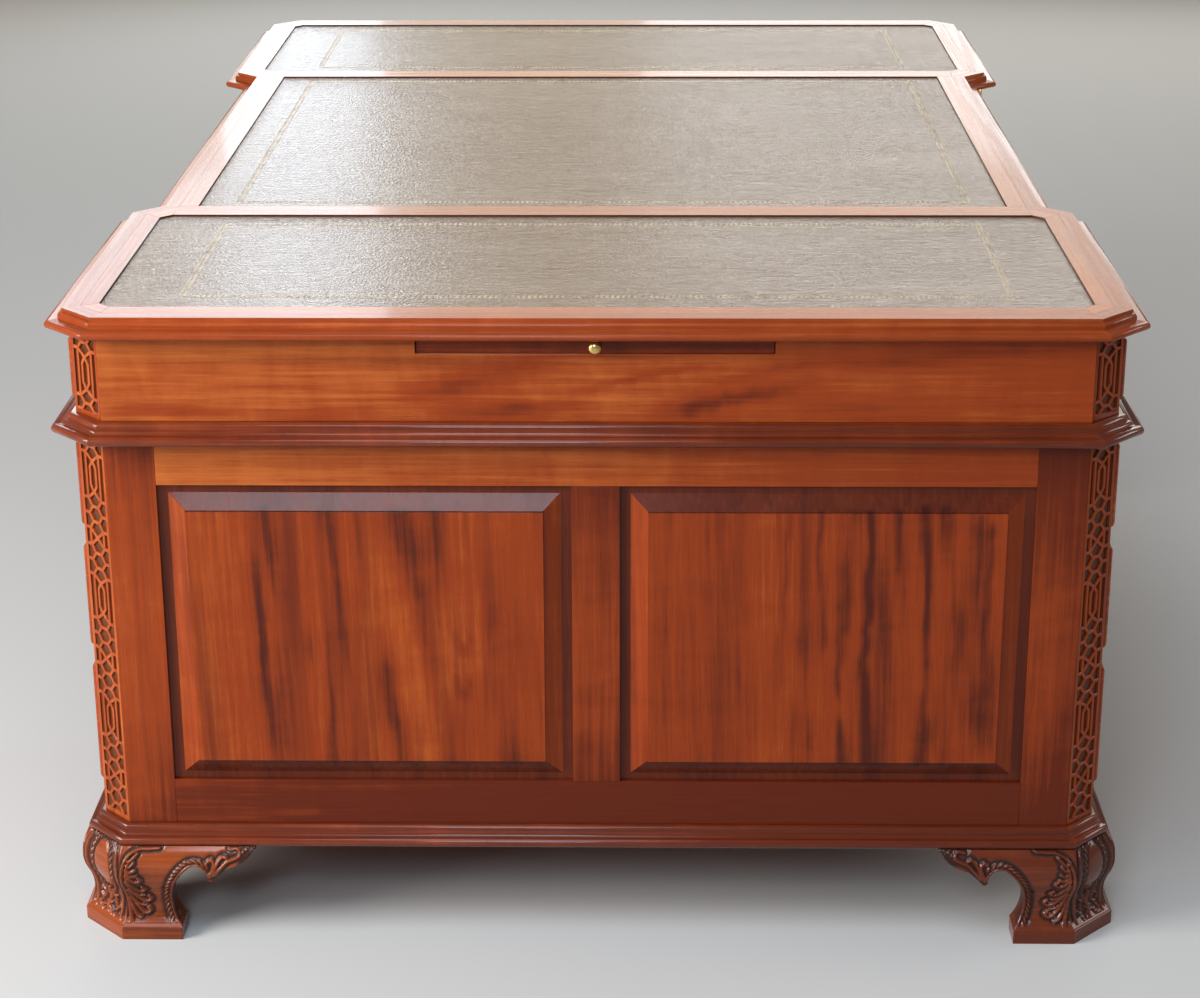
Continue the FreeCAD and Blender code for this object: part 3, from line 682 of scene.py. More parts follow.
def webShape(places, bars, width, depth):
    # Fattens each bar to its width, with a shared corner between neighbouring bars at a joint
    around = {index: [] for index in range(len(places))}
    for first, second in bars:
        for here, there in ((first, second), (second, first)):
            reach = places[there] - places[here]
            around[here].append((math.atan2(reach.y, reach.x), there))
    shape = bmesh.new()
    corners = {}

    def cornerAt(here, turn, reach):
        return shape.verts.new(places[here] + Vector((math.cos(turn), math.sin(turn), 0)) * reach)

    for here, spokes in around.items():
        spokes.sort()
        if len(spokes) == 1:
            angle, there = spokes[0]
            corners[here, there, "left"] = cornerAt(here, angle + math.pi / 2, width / 2)
            corners[here, there, "right"] = cornerAt(here, angle - math.pi / 2, width / 2)
            continue
        ring = []
        for index, (angle, there) in enumerate(spokes):
            after, other = spokes[(index + 1) % len(spokes)]
            half = (after - angle) % (2 * math.pi) / 2
            reach = width / 2 / max(math.sin(half), fretValues["leastSine"])
            corner = cornerAt(here, angle + half, reach)
            corners[here, there, "left"] = corners[here, other, "right"] = corner
            ring.append(corner)
        if len(ring) > 2:
            shape.faces.new(ring)
    for first, second in bars:
        shape.faces.new([corners[first, second, "right"], corners[second, first, "left"],
                         corners[second, first, "right"], corners[first, second, "left"]])
    tops = list(shape.faces)
    sunk = bmesh.ops.extrude_face_region(shape, geom=tops, use_keep_orig=True)
    bottom = [item for item in sunk["geom"] if isinstance(item, bmesh.types.BMVert)]
    bmesh.ops.translate(shape, verts=bottom, vec=Vector((0, 0, -depth)))
    bmesh.ops.recalc_face_normals(shape, faces=shape.faces)
    limit = math.radians(fretValues["easeAngle"])
    rims = [edge for edge in shape.edges if edge.is_manifold and edge.calc_face_angle() > limit
            and all(vert.co.z > -depth / 2 for vert in edge.verts)]
    bmesh.ops.bevel(shape, geom=rims, offset=fretValues["ease"], segments=1, affect="EDGES",
                    clamp_overlap=True)
    return shape


def cantTurn(outer, signX, signY, low, high):
    # Frame of one canted face: across, up, out, and its middle
    edgeX, inX = (endX, endX - cant) if outer else (kneeX, kneeX + cant)
    middle = Vector((signX * (edgeX + inX) / 2, signY * (endY + sideY) / 2, (low + high) / 2))
    out = Vector((signX * (1 if outer else -1), signY, 0)).normalized()
    turn = Matrix((upright.cross(out), upright, out)).transposed().to_4x4()
    return Matrix.Translation(middle) @ turn


def makeFret(side, signX):
    piece = newPiece()
    width = cant * math.sqrt(2) - 2 * fretValues["border"]
    for low, high, stages in ((baseTop, waistLow, postFret), (waistHigh, friezeHigh, friezeFret)):
        places, bars = fretWeb(stages, width, high - low - 2 * fretValues["end"])
        for outer in (True, False):
            for signY in (-1, 1):
                shape = webShape(places, bars, fretValues["bar"], fretValues["depth"])
                matrix = cantTurn(outer, signX, signY, low, high)
                bmesh.ops.transform(shape, matrix=matrix, verts=shape.verts)
                for face in shape.faces:
                    face.smooth = False
                # Painted shade: frets on the right as seen from outside are darker, those on the left lighter
                tone = fretValues["tone"] - fretValues["paintedShadeToRight"] * signX * signY
                seed = f"fret {side} {outer} {signY} {low:.3f}"
                addBoard(piece, shape, upright, seed, lambda face: 0, tone=tone)
                shape.free()
    finishPiece("blind_fret_" + side, piece, [woods["case"]], "corner_posts_" + side)


makeFret("right", 1)
makeFret("left", -1)
print("fret cut")


# Carved ogee feet: one corner is worked out in millimetres, then mirrored to the eight places
footValues = {"wing": 154.0, "back": 10.0, "pad": 17.0, "padWing": 61.0, "spacing": 1.2,
              "ogeeSpacing": 1.0, "archSpacing": 1.1, "rowShare": 0.866, "rimShare": 0.6,
              "weld": 1e-5, "slack": 0.01, "firstRow": 1.0, "lastRow": 0.6, "rowGap": 0.5,
              "edgeEase": 0.5, "edgeReach": 1.0, "backShade": 0.25, "tone": (-0.20, -0.12),
              "darker": 0.11, "paintedShadeToRight": 0.11}
groundValues = {"depth": 1.9, "undercut": 1.1, "abovePad": (2, 9), "flatAbovePad": 1.7, "clear": (-5.5, -1.4),
                "relief": (0.3, 1.7), "margin": 0.06, "shade": 1.05, "farClear": 99.0, "ridgeRound": 0.65}
ropeValues = {"place": 7.2, "radius": 3.1, "rise": 2.3, "mean": 0.62, "swing": 0.38, "slant": 1.2,
              "pitch": 5.4, "starts": (3, 9), "stops": (-12, -6), "clear": 3.0, "clearFrom": 0.3}
beadValues = {"place": 1.9, "radius": 1.9, "rise": 1.5, "starts": (1, 5), "stops": (-1, 3), "clear": 1.8}
stippleValues = {"starts": (131, 135), "runTurns": 2.1, "upTurns": 2.3, "rise": 0.8,
                 "sinks": (126, 137), "clear": 7.0, "sink": 6.0}
lumpValues = {"count": 26, "seed": 11, "across": 25, "up": (19, 46), "reach": (1.5, 4.5), "bend": 1.5,
              "bendTurn": 1.6, "first": (1.2, 1.7), "last": (1.5, 2.3), "rise": (1.6, 2.5),
              "stem": ([(0, 20), (1, 30), (-1, 41), (0.5, 53)], 3.6, 2.0, 2.6)}
# The oval boss on the cant: half sizes and height in millimetres, its rings in shares of the oval
ovalValues = {"half": 15.5, "middle": 87, "tall": 32.0, "domeRound": 0.6, "domeRise": 1.3,
              "beadPlace": 1.30, "beadHalf": 0.17, "beadRound": 0.7, "beads": 30, "beadMean": 0.6,
              "beadSwing": 0.4, "beadRise": 1.9, "beadClear": 0.15, "clearScale": 16, "sunk": (1.0, 1.7),
              "ringPlace": 1.56, "ringHalf": 0.07, "ringRise": 1.2, "ringEnds": (0.2, 0.7)}
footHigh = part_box("bracket_feet")[1]
footHeight, footSwell = footHigh.z * mmPerMetre, (footHigh.x - endX) * mmPerMetre
cantSide = cant * mmPerMetre
cantHalf = cantSide / math.sqrt(2)
mitre = math.tan(math.radians(22.5))
ogeeArcs = [((0.89, 0.154),), ((0.65, 0.325), (0.80, 0.545)), ((0.99, 0.80), (0.68, 1.0))]
archArcs = [((0.32, 0.46), (0.475, 0.795)), ((0.585, 0.765), (0.612, 0.66)),
            ((0.633, 0.634), (0.66, 0.655)), ((0.692, 0.697), (0.764, 0.785)),
            ((0.853, 0.823), (0.919, 0.868)), ((0.963, 0.93), (0.985, 0.975))]
# Ridges of the leaf, each by its path (run from the arris, height), its radius at both ends and its rise
leafRidges = [
    ([(47, 119.6), (34, 118.6), (22, 118.0), (10, 110), (3.5, 93), (2, 71), (4.5, 43), (7.6, 26), (9, 20)],
     1.6, 3.2, 2.4),
    ([(20, 112), (11, 101), (7.6, 84), (7.6, 66), (9, 50)], 1.5, 1.7, 2.2),
    ([(9, 106), (13, 104), (20.5, 112.5)], 1.8, 2.3, 2.0), ([(9, 99), (13, 97), (17.5, 102)], 1.8, 2.2, 2.0),
    ([(9, 94), (13, 90), (19, 92)], 1.8, 2.3, 2.1), ([(8.5, 90), (13, 84.5), (20.5, 85)], 1.8, 2.4, 2.2),
    ([(8, 93), (10.5, 83), (15, 77), (21, 75.5), (25, 79), (22.5, 82)], 1.5, 2.3, 2.4),
    ([(7, 86), (10.5, 72), (16, 64), (22.5, 60.5), (27, 64), (24, 67)], 1.6, 2.4, 2.6),
    ([(6.5, 77), (11, 60), (18, 50.5), (27, 46.5), (32, 50), (29, 53.5)], 1.7, 2.5, 2.8),
    ([(6, 64), (11, 48), (18, 37), (26, 31.5), (31, 34.5), (28, 38)], 1.7, 2.5, 3.0),
    ([(12, 62), (17.5, 55), (24, 54)], 1.2, 1.8, 2.0), ([(12, 50), (17, 43), (25, 40.5)], 1.2, 1.8, 2.2),
    ([(5.5, 53), (9, 40), (14, 30), (20, 26)], 1.7, 2.6, 2.8), ([(5, 43), (7, 31), (10, 22)], 1.6, 2.3, 2.4),
    ([(-9, 119), (-7, 108), (-6, 92), (-6, 70), (-6, 48), (-8, 32), (-10, 20)], 2.2, 2.6, 2.0),
]
# The scrolled drop at the end of the arch, by run along the wing and height
dropRidges = [
    ([(98, 84), (101, 92), (103.5, 101), (100, 106.5), (96, 104.5)], 2.4, 2.6, 2.3),
    ([(101, 88), (105, 97), (109, 105), (114, 110), (118.5, 109)], 2.2, 2.4, 2.2),
    ([(103, 86.5), (110, 95), (119, 104), (129, 108), (135, 112.5), (132, 119), (123, 118)], 2.4, 1.9, 2.0),
    ([(97.2, 86), (98.2, 87)], 3.6, 3.6, 2.4),
] + [([(run, up), (run + 0.3, up)], 1.9, 1.9, 1.6)
     for run, up in ((138.5, 115), (142.5, 118), (146.5, 122.5), (139, 121.5))]


def arcThrough(start, via, end, spacing):
    (ax, ay), (bx, by), (cx, cy) = start, via, end
    twice = 2 * (ax * (by - cy) + bx * (cy - ay) + cx * (ay - by))
    squares = (ax * ax + ay * ay, bx * bx + by * by, cx * cx + cy * cy)
    middleX = (squares[0] * (by - cy) + squares[1] * (cy - ay) + squares[2] * (ay - by)) / twice
    middleY = (squares[0] * (cx - bx) + squares[1] * (ax - cx) + squares[2] * (bx - ax)) / twice
    radius, first = math.hypot(ax - middleX, ay - middleY), math.atan2(ay - middleY, ax - middleX)
    sweep = (math.atan2(cy - middleY, cx - middleX) - first) % (2 * math.pi)
    if (math.atan2(by - middleY, bx - middleX) - first) % (2 * math.pi) > sweep:
        sweep -= 2 * math.pi
    count = max(2, round(abs(sweep) * radius / spacing))
    turns = [first + sweep * step / count for step in range(1, count + 1)]
    return [(middleX + radius * math.cos(turn), middleY + radius * math.sin(turn)) for turn in turns]


def tracePath(start, arcs, width, height, spacing):
    path = [start]
    for arc in arcs:
        sized = [(across * width, up * height) for across, up in arc]
        path += sized if len(sized) == 1 else arcThrough(path[-1], *sized, spacing)
    return path


def smoothPath(points, steps=7):
    ring = [np.array(point, dtype=float) for point in [points[0]] + points + [points[-1]]]
    path = []
    for a, b, c, d in zip(ring, ring[1:], ring[2:], ring[3:]):
        square, cube = 2 * a - 5 * b + 4 * c - d, 3 * b - a - 3 * c + d
        for t in np.linspace(0, 1, steps, endpoint=False):
            path.append(0.5 * (2 * b + (c - a) * t + square * t ** 2 + cube * t ** 3))
    return path + [ring[-1]]


def nearPath(path, across, up):
    # Distance from every point to a path, and how far along the path its nearest place is
    gap, along, run = np.full(across.shape, 1e9), np.zeros(across.shape), 0.0
    for (ax, ay), (bx, by) in zip(path, path[1:]):
        size = max(math.hypot(bx - ax, by - ay), 1e-6)
        share = np.clip(((across - ax) * (bx - ax) + (up - ay) * (by - ay)) / size ** 2, 0, 1)
        here = np.hypot(across - ax - share * (bx - ax), up - ay - share * (by - ay))
        along = np.where(here < gap, run + share * size, along)
        gap = np.minimum(gap, here)
        run += size
    return gap, along, run


def easeStep(value, low, high):
    share = np.clip((value - low) / (high - low), 0, 1)
    return share * share * (3 - 2 * share)


def roundRise(gap, radius):
    return np.clip(1 - (gap / radius) ** 2, 0, 1) ** groundValues["ridgeRound"]


def raiseRidges(ridges, across, up, relief, clear):
    # Adds ridges to the relief, and keeps each point's distance from the nearest ridge
    for points, firstRadius, lastRadius, rise in ridges:
        gap, along, run = nearPath(smoothPath(points), across, up)
        radius = firstRadius + (lastRadius - firstRadius) * along / run
        relief = np.maximum(relief, rise * roundRise(gap, radius))
        clear = np.minimum(clear, gap - radius)
    return relief, clear


padStart, archStart = (footSwell, footValues["pad"]), (footValues["padWing"], footValues["pad"])
ogeePath = [(footSwell, 0.0)] + tracePath(
    padStart, ogeeArcs, footSwell, footHeight, footValues["ogeeSpacing"])
archPath = tracePath(archStart, archArcs, footValues["wing"], footHeight, footValues["archSpacing"])
cuspEnd = archArcs[1][1][0] * footValues["wing"] + footValues["slack"]
cuspRun = sum(math.dist(a, b) for a, b in zip(archPath, archPath[1:]) if b[0] <= cuspEnd)


def ogeeAt(up):
    return np.interp(up, [point[1] for point in ogeePath], [point[0] for point in ogeePath])


def startRelief(shape):
    return np.zeros(shape), np.full(shape, groundValues["farClear"])


def finishRelief(relief, clear, up):
    # Carving lies in a ground sunk below the blank, which runs out above the pad
    values, pad = groundValues, footValues["pad"]
    sunk = easeStep(up, *(pad + above for above in values["abovePad"]))
    ground = easeStep(-clear, *values["clear"]) * (1 - easeStep(relief, *values["relief"]))
    height = (relief - values["depth"]) * sunk - values["undercut"] * ground * sunk
    height = np.minimum(height, footSwell - values["margin"] - ogeeAt(up))
    # Painted shade: the sunk ground close to the ridges is darkened through the shade value
    shade = np.clip(ground * sunk * values["shade"], 0, 1)
    return np.where(up <= pad + values["flatAbovePad"], 0.0, height), shade


def alongArch(path, values):
    # 1 on a stretch of the arch, with soft ends measured from its start and from its cusp
    stops = (cuspRun + stop for stop in values["stops"])
    return easeStep(path, *values["starts"]) * (1 - easeStep(path, *stops))


def carveWing(run, up):
    rope, bead, stipple = ropeValues, beadValues, stippleValues
    relief, clear = raiseRidges(leafRidges, run + mitre * ogeeAt(up), up, *startRelief(run.shape))
    relief, clear = raiseRidges(dropRidges, run, up, relief, clear)
    gap, path = nearPath(archPath, run, up)[:2]
    onRope = alongArch(path, rope)
    turns = 2 * math.pi * path / rope["pitch"] + (gap - rope["place"]) * rope["slant"]
    strand = rope["mean"] + rope["swing"] * np.cos(turns)
    ropeRise = roundRise(gap - rope["place"], rope["radius"]) * strand * rope["rise"] * onRope
    beadRise = roundRise(gap - bead["place"], bead["radius"]) * bead["rise"] * alongArch(path, bead)
    nearest = np.minimum(*(np.abs(gap - row["place"]) - row["clear"] for row in (rope, bead)))
    clear = np.minimum(clear, np.where(onRope > rope["clearFrom"], nearest, groundValues["farClear"]))
    dots = 0.5 + 0.5 * np.sin(run * stipple["runTurns"]) * np.sin(up * stipple["upTurns"] + run)
    dotRise = easeStep(run, *stipple["starts"]) * dots * stipple["rise"]
    relief = np.maximum(np.maximum(relief, ropeRise), np.maximum(beadRise, dotRise))
    clear = np.minimum(clear, stipple["clear"] - stipple["sink"] * easeStep(run, *stipple["sinks"]))
    return finishRelief(relief, clear, up)


def strewLumps(values):
    draw = random.Random(values["seed"])
    lumps = [values["stem"]]
    for index in range(values["count"]):
        x, y = draw.uniform(-values["across"], values["across"]), draw.uniform(*values["up"])
        turn, reach = draw.uniform(0, math.pi), draw.uniform(*values["reach"])
        lean = turn + values["bendTurn"]
        bend = (x + values["bend"] * math.cos(lean), y + values["bend"] * math.sin(lean))
        tips = [(x + end * math.cos(turn), y + end * math.sin(turn)) for end in (-reach, reach)]
        sizes = (draw.uniform(*values[name]) for name in ("first", "last", "rise"))
        lumps.append(([tips[0], bend, tips[1]], *sizes))
    return lumps


def carveCant(across, up):
    values = ovalValues
    half = cantHalf + mitre * ogeeAt(up)
    relief, clear = raiseRidges(leafRidges, np.abs(across) - half, up, *startRelief(up.shape))
    relief, clear = raiseRidges(strewLumps(lumpValues), across, up, relief, clear)
    wide, tall = across / values["half"], (up - values["middle"]) / values["tall"]
    oval, turn = np.hypot(wide, tall), np.arctan2(wide, tall)
    fromBeads = (oval - values["beadPlace"]) / values["beadHalf"]
    pulse = values["beadMean"] + values["beadSwing"] * np.cos(turn * values["beads"])
    beads = np.clip(1 - fromBeads ** 2, 0, 1) ** values["beadRound"] * pulse * values["beadRise"]
    fromRing = (oval - values["ringPlace"]) / values["ringHalf"]
    ringEnds = easeStep(np.cos(turn), *values["ringEnds"])
    rings = np.clip(1 - fromRing ** 2, 0, 1) * values["ringRise"] * ringEnds
    dome = np.clip(1 - oval ** 2, 0, 1) ** values["domeRound"] * values["domeRise"]
    relief = np.maximum(np.maximum(relief, dome), np.maximum(beads, rings))
    nearest = (np.abs(oval - values["beadPlace"]) - values["beadClear"]) * values["clearScale"]
    inRing = (oval > values["sunk"][0]) & (oval < values["sunk"][1])
    clear = np.minimum(clear, np.where(inRing, nearest, groundValues["farClear"]))
    return finishRelief(relief, clear, up)


def insideLoop(loop, across, up):
    hit = np.zeros(across.shape, dtype=bool)
    for (ax, ay), (bx, by) in zip(loop, loop[1:] + loop[:1]):
        if ay != by:
            hit ^= ((ay > up) != (by > up)) & (across < (bx - ax) * (up - ay) / (by - ay) + ax)
    return hit


def fillLoop(loop, values):
    # Points in rows inside a loop, joined with it into small triangles
    spacing = values["spacing"]
    lows, highs = np.min(loop, axis=0), np.max(loop, axis=0)
    columns = np.arange(lows[0], highs[0], spacing)
    rows = np.arange(lows[1], highs[1], spacing * values["rowShare"])
    across, up = np.meshgrid(columns, rows)
    across = across + (np.arange(len(across)) % 2 * spacing / 2)[:, None]
    across, up = across.ravel(), up.ravel()
    kept = insideLoop(loop, across, up)
    rim = KDTree(len(loop))
    for index, point in enumerate(loop):
        rim.insert((*point, 0), index)
    rim.balance()
    clear = spacing * values["rimShare"]
    inner = [(x, y) for x, y in zip(across[kept], up[kept]) if rim.find((x, y, 0))[2] > clear]
    points = list(loop) + inner
    ring = list(range(len(loop)))
    made = delaunay_2d_cdt([Vector(point) for point in points], [], [ring], 1, values["weld"], True)
    ids = [sources[0] for sources in made[3]]
    faces = np.array([[ids[index] for index in face] for face in made[2]])
    middles = np.array(points)[faces].mean(axis=1)
    return points, faces[insideLoop(loop, middles[:, 0], middles[:, 1])].tolist()


def evenSteps(first, last, spacing):
    count = max(1, round(math.dist(first, last) / spacing))
    start, reach = np.array(first), np.array(last) - np.array(first)
    return [tuple(start + reach * step / count) for step in range(1, count + 1)]


cantGrain = math.pi / 4


def footLevels(values):
    # Heights of the points along an arris, among them the edge of the pad and the fillet over it
    kept = (values["pad"], ogeeArcs[0][0][1] * footHeight)
    rows = np.arange(values["firstRow"], footHeight - values["lastRow"], values["spacing"])
    free = {float(row) for row in rows if min(abs(row - level) for level in kept) > values["rowGap"]}
    return np.array(sorted({0.0, *kept, footHeight} | free))


def addFootPoint(foot, first, share, reach, up, shade, grainTurn):
    # A point at a share between two corners of the case's plan, moved outward by reach
    corners, steps = foot["corners"], foot["steps"]
    flat = corners[first] + (corners[first + 1] - corners[first]) * share
    flat = flat + (steps[first] + (steps[first + 1] - steps[first]) * share) * reach
    side = np.array((math.cos(grainTurn), math.sin(grainTurn)))
    along = np.array((-math.sin(grainTurn), math.cos(grainTurn)))
    foot["shade"].append(shade)
    foot["grain"].append((up, flat @ side, flat @ along))
    return foot["shape"].verts.new((*flat, up))


def addSmooth(foot, rings):
    for ring in rings:
        foot["shape"].faces.new(ring).smooth = True


def buildWings(foot, values, levels, arrises, backs):
    # Outline of a wing: down the arris, along the floor, up the pad and the arch, and back along the top
    wing, back, spacing = values["wing"], values["back"], values["spacing"]
    arris = [(float(-mitre * ogeeAt(up)), float(up)) for up in levels[::-1]]
    floorRun = evenSteps(arris[-1], (values["padWing"], 0.0), spacing)
    edgeRun = evenSteps(floorRun[-1], archPath[0], spacing) + archPath[1:]
    edgeRun += evenSteps(archPath[-1], (wing, archPath[-1][1]), spacing) + [(wing, footHeight)]
    topRun = evenSteps(edgeRun[-1], arris[0], spacing)[:-1]
    points, faces = fillLoop(arris + floorRun + edgeRun + topRun, values)
    run, up = np.array(points).T
    rise, dark = carveWing(run, up)
    edge = nearPath(edgeRun, run, up)[0]
    rise = rise - values["edgeEase"] * (1 - easeStep(edge, 0.0, values["edgeReach"]))
    share = 1 - (run + mitre * ogeeAt(up)) / (wing + mitre * ogeeAt(up))
    start = len(arris) + len(floorRun) - 1
    end = start + len(edgeRun)
    for number, (first, grainTurn) in enumerate(((0, 0.0), (2, math.pi / 2))):
        rim, corner = arrises[number][::-1], backs[number]
        verts = list(rim)
        for index in range(len(rim), len(points)):
            place = 1 - share[index] if number else share[index]
            verts.append(addFootPoint(foot, first, place, ogeeAt(up[index]) + rise[index], up[index],
                                      dark[index], grainTurn))
        addSmooth(foot, [[verts[index] for index in face] for face in faces])
        front, behind = verts[start:end + 1], []
        for across, height in [floorRun[-1]] + edgeRun:
            place = (across - mitre * back) / (wing - mitre * back)
            behind.append(addFootPoint(foot, first, place if number else 1 - place, -back, height,
                                       values["backShade"], grainTurn))
        addSmooth(foot, zip(front, front[1:], behind[1:], behind))
        floorFace = [rim[-1]] + verts[len(rim):start + 1] + [behind[0], corner[0]]
        topFace = verts[end:end + 1 + len(topRun)] + [rim[0], corner[1], behind[-1]]
        for ring in (floorFace, topFace, behind + [corner[1], corner[0]]):
            foot["shape"].faces.new(ring)


def buildCant(foot, values, levels, arrises, backs):
    # The cant between the two arrises
    spacing, count = values["spacing"], len(levels)
    width = 2 * cantHalf + 2 * mitre * footSwell
    left = [(0.0, float(up)) for up in levels]
    right = [(width, float(up)) for up in levels[::-1]]
    topSpan = evenSteps(left[-1], right[0], spacing)[:-1]
    lowSpan = evenSteps(right[-1], left[0], spacing)[:-1]
    points, faces = fillLoop(left + topSpan + right + lowSpan, values)
    across, up = np.array(points).T
    share = across / width
    rise, dark = carveCant((share - 0.5) * (2 * cantHalf + 2 * mitre * ogeeAt(up)), up)
    second = count + len(topSpan)
    known = dict(zip(range(count), arrises[0]))
    known.update(zip(range(second, second + count), arrises[1][::-1]))
    verts = []
    for index in range(len(points)):
        verts.append(known.get(index) or addFootPoint(
            foot, 1, share[index], ogeeAt(up[index]) + rise[index], up[index], dark[index], cantGrain))
    addSmooth(foot, [[verts[index] for index in face] for face in faces])
    top = verts[count - 1:second + 1]
    low = verts[second + count - 1:second + count + len(lowSpan)] + [verts[0]]
    for ring in (top + [backs[1][1], backs[0][1]], low + [backs[0][0], backs[1][0]],
                 [backs[0][0], backs[0][1], backs[1][1], backs[1][0]]):
        foot["shape"].faces.new(ring)


def makeFoot(values):
    wing = values["wing"]
    tipX, tipY, sides = endX * mmPerMetre, endY * mmPerMetre, sideY * mmPerMetre
    corners = [(tipX, tipY - wing), (tipX, tipY), (tipX - cantSide, sides), (tipX - cantSide - wing, sides)]
    foot = {"shape": bmesh.new(), "shade": [], "grain": [], "corners": np.array(corners),
            "steps": np.array([(1, 0), (1, mitre), (mitre, 1), (0, 1)])}
    levels = footLevels(values)
    rises, shades = carveWing(-mitre * ogeeAt(levels), levels)
    ends = ((0, 1.0), (2, 0.0))
    arrises = [[addFootPoint(foot, first, share, ogeeAt(up) + rise, up, dark, cantGrain)
                for up, rise, dark in zip(levels, rises, shades)] for first, share in ends]
    backs = [[addFootPoint(foot, first, share, -values["back"], up, 0.0, cantGrain)
              for up in (0.0, footHeight)] for first, share in ends]
    buildWings(foot, values, levels, arrises, backs)
    buildCant(foot, values, levels, arrises, backs)
    return finishFoot(foot)


def finishFoot(foot):
    # Carved faces stay smooth among themselves; only the plain ones get sharp edges
    shape = foot["shape"]
    bmesh.ops.recalc_face_normals(shape, faces=shape.faces)
    shape.verts.index_update()
    limit = math.radians(boardValues["sharpAngle"])
    plain = {face for face in shape.faces if len(face.verts) > 3}
    sharp = {tuple(sorted(vert.index for vert in edge.verts)) for edge in shape.edges
             if edge.calc_face_angle(0.0) > limit and plain & set(edge.link_faces)}
    made = {"points": np.array([vert.co for vert in shape.verts]) / mmPerMetre, "sharp": sharp,
            "faces": [[vert.index for vert in face.verts] for face in shape.faces],
            "smooth": [face.smooth for face in shape.faces],
            "grain": np.array(foot["grain"]) / mmPerMetre, "shade": foot["shade"]}
    shape.free()
    return made


def placeFoot(foot, values, side, face, inner):
    draw = random.Random(f"foot {side} {face} {inner}")
    signX, signY = 1 if side == "right" else -1, -1 if face == "front" else 1
    points = foot["points"].copy()
    if inner:
        points[:, 0] = kneeX + endX - points[:, 0]
    points *= np.array((signX, signY, 1))
    turned = (signX < 0) ^ (signY < 0) ^ inner
    grain = foot["grain"] + np.array([draw.uniform(0, boardValues["shift"]) for axis in range(3)])
    # Painted shade: the feet on the right as seen from outside their end are darker
    tone = draw.uniform(*values["tone"]) - values["darker"] - values["paintedShadeToRight"] * signX * signY
    piece = {**foot, "points": points.tolist(), "grain": grain, "tone": [tone] * len(points),
             "slots": [0] * len(foot["faces"]),
             "faces": [ring[::-1] for ring in foot["faces"]] if turned else foot["faces"]}
    place = f"{side}_{face}_{'knee' if inner else 'end'}"
    finishPiece("carved_foot_" + place, piece, [woods["carved"]], "bracket_feet")


carvedFoot = makeFoot(footValues)
for sideName in ("right", "left"):
    for faceName in ("front", "back"):
        for isInner in (False, True):
            placeFoot(carvedFoot, footValues, sideName, faceName, isInner)
print("feet carved")


# Turned brass knobs, in shares of radius and length
knobValues = {"segments": 40, "color": (0.78, 0.55, 0.20, 1.0), "stain": (0.26, 0.16, 0.06, 1.0),
              "stainNoise": {"scale": 180.0, "detail": 4.0, "roughness": 0.6}, "stainRange": (0.42, 0.68),
              "aged": 0.35, "roughness": (0.24, 0.42)}
knobProfile = [(0.0, 0.0), (0.70, 0.0), (0.74, 0.03), (0.74, 0.07), (0.66, 0.11), (0.50, 0.13),
               (0.38, 0.18), (0.33, 0.28), (0.36, 0.37), (0.52, 0.41), (0.76, 0.48), (0.92, 0.57),
               (0.985, 0.67), (0.95, 0.78), (0.82, 0.88), (0.58, 0.95), (0.30, 0.978), (0.0, 0.98)]


def makeBrass(values):
    material, tree, shader = newMaterial("agedBrass")
    place = addNode(tree, "ShaderNodeTexCoord").outputs["Object"]
    stain = addStep(tree, addNoise(tree, place, **values["stainNoise"]), *values["stainRange"])
    color = addMix(tree, addMath(tree, "MULTIPLY", stain, values["aged"]), values["color"], values["stain"])
    rough = addStep(tree, stain, 0.0, 1.0, *values["roughness"])
    setInputs(tree, shader, {"Base Color": color, "Metallic": 1.0, "Roughness": rough})
    return material


brass = makeBrass(knobValues)


def turnKnob(shape, radius, length, seat, out):
    side = out.orthogonal().normalized()
    other = out.cross(side)
    count = knobValues["segments"]
    turns = [2 * math.pi * step / count for step in range(count)]
    spokes = [side * math.cos(turn) + other * math.sin(turn) for turn in turns]
    rings = []
    for share, along in knobProfile:
        centre = seat + out * (along * length)
        if share == 0.0:
            rings.append([shape.verts.new(centre)])
        else:
            rings.append([shape.verts.new(centre + spoke * share * radius) for spoke in spokes])
    for first, second in zip(rings, rings[1:]):
        for step in range(count):
            after = (step + 1) % count
            corners = [first[step % len(first)], first[after % len(first)],
                       second[after % len(second)], second[step % len(second)]]
            shape.faces.new(list(dict.fromkeys(corners)))


def dressKnobs(node):
    low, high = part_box(node)
    size = high - low
    along = 0 if node.startswith("slide") else 1
    out = Vector((0, 0, 0))
    out[along] = math.copysign(1, (low + high)[along])
    radius, length = size.z / 2, size[along] / knobProfile[-1][1]
    seat = (low + high) / 2
    seat[along] = low[along] if out[along] > 0 else high[along]
    spread = 0.0 if along == 0 else size.x / 2 - radius
    shape = bmesh.new()
    for shift in ([-spread, spread] if spread > radius else [0.0]):
        turnKnob(shape, radius, length, seat + Vector((shift, 0, 0)), out)
    bmesh.ops.recalc_face_normals(shape, faces=shape.faces)
    for face in shape.faces:
        face.smooth = True
    mesh = bpy.data.meshes.new("turned_" + node)
    shape.to_mesh(mesh)
    shape.free()
    mesh.materials.append(brass)
    placePiece("turned_" + node, mesh, node)


for nodeName in sorted(nodes):
    if "knob" in nodeName:
        dressKnobs(nodeName)
print("knobs turned")


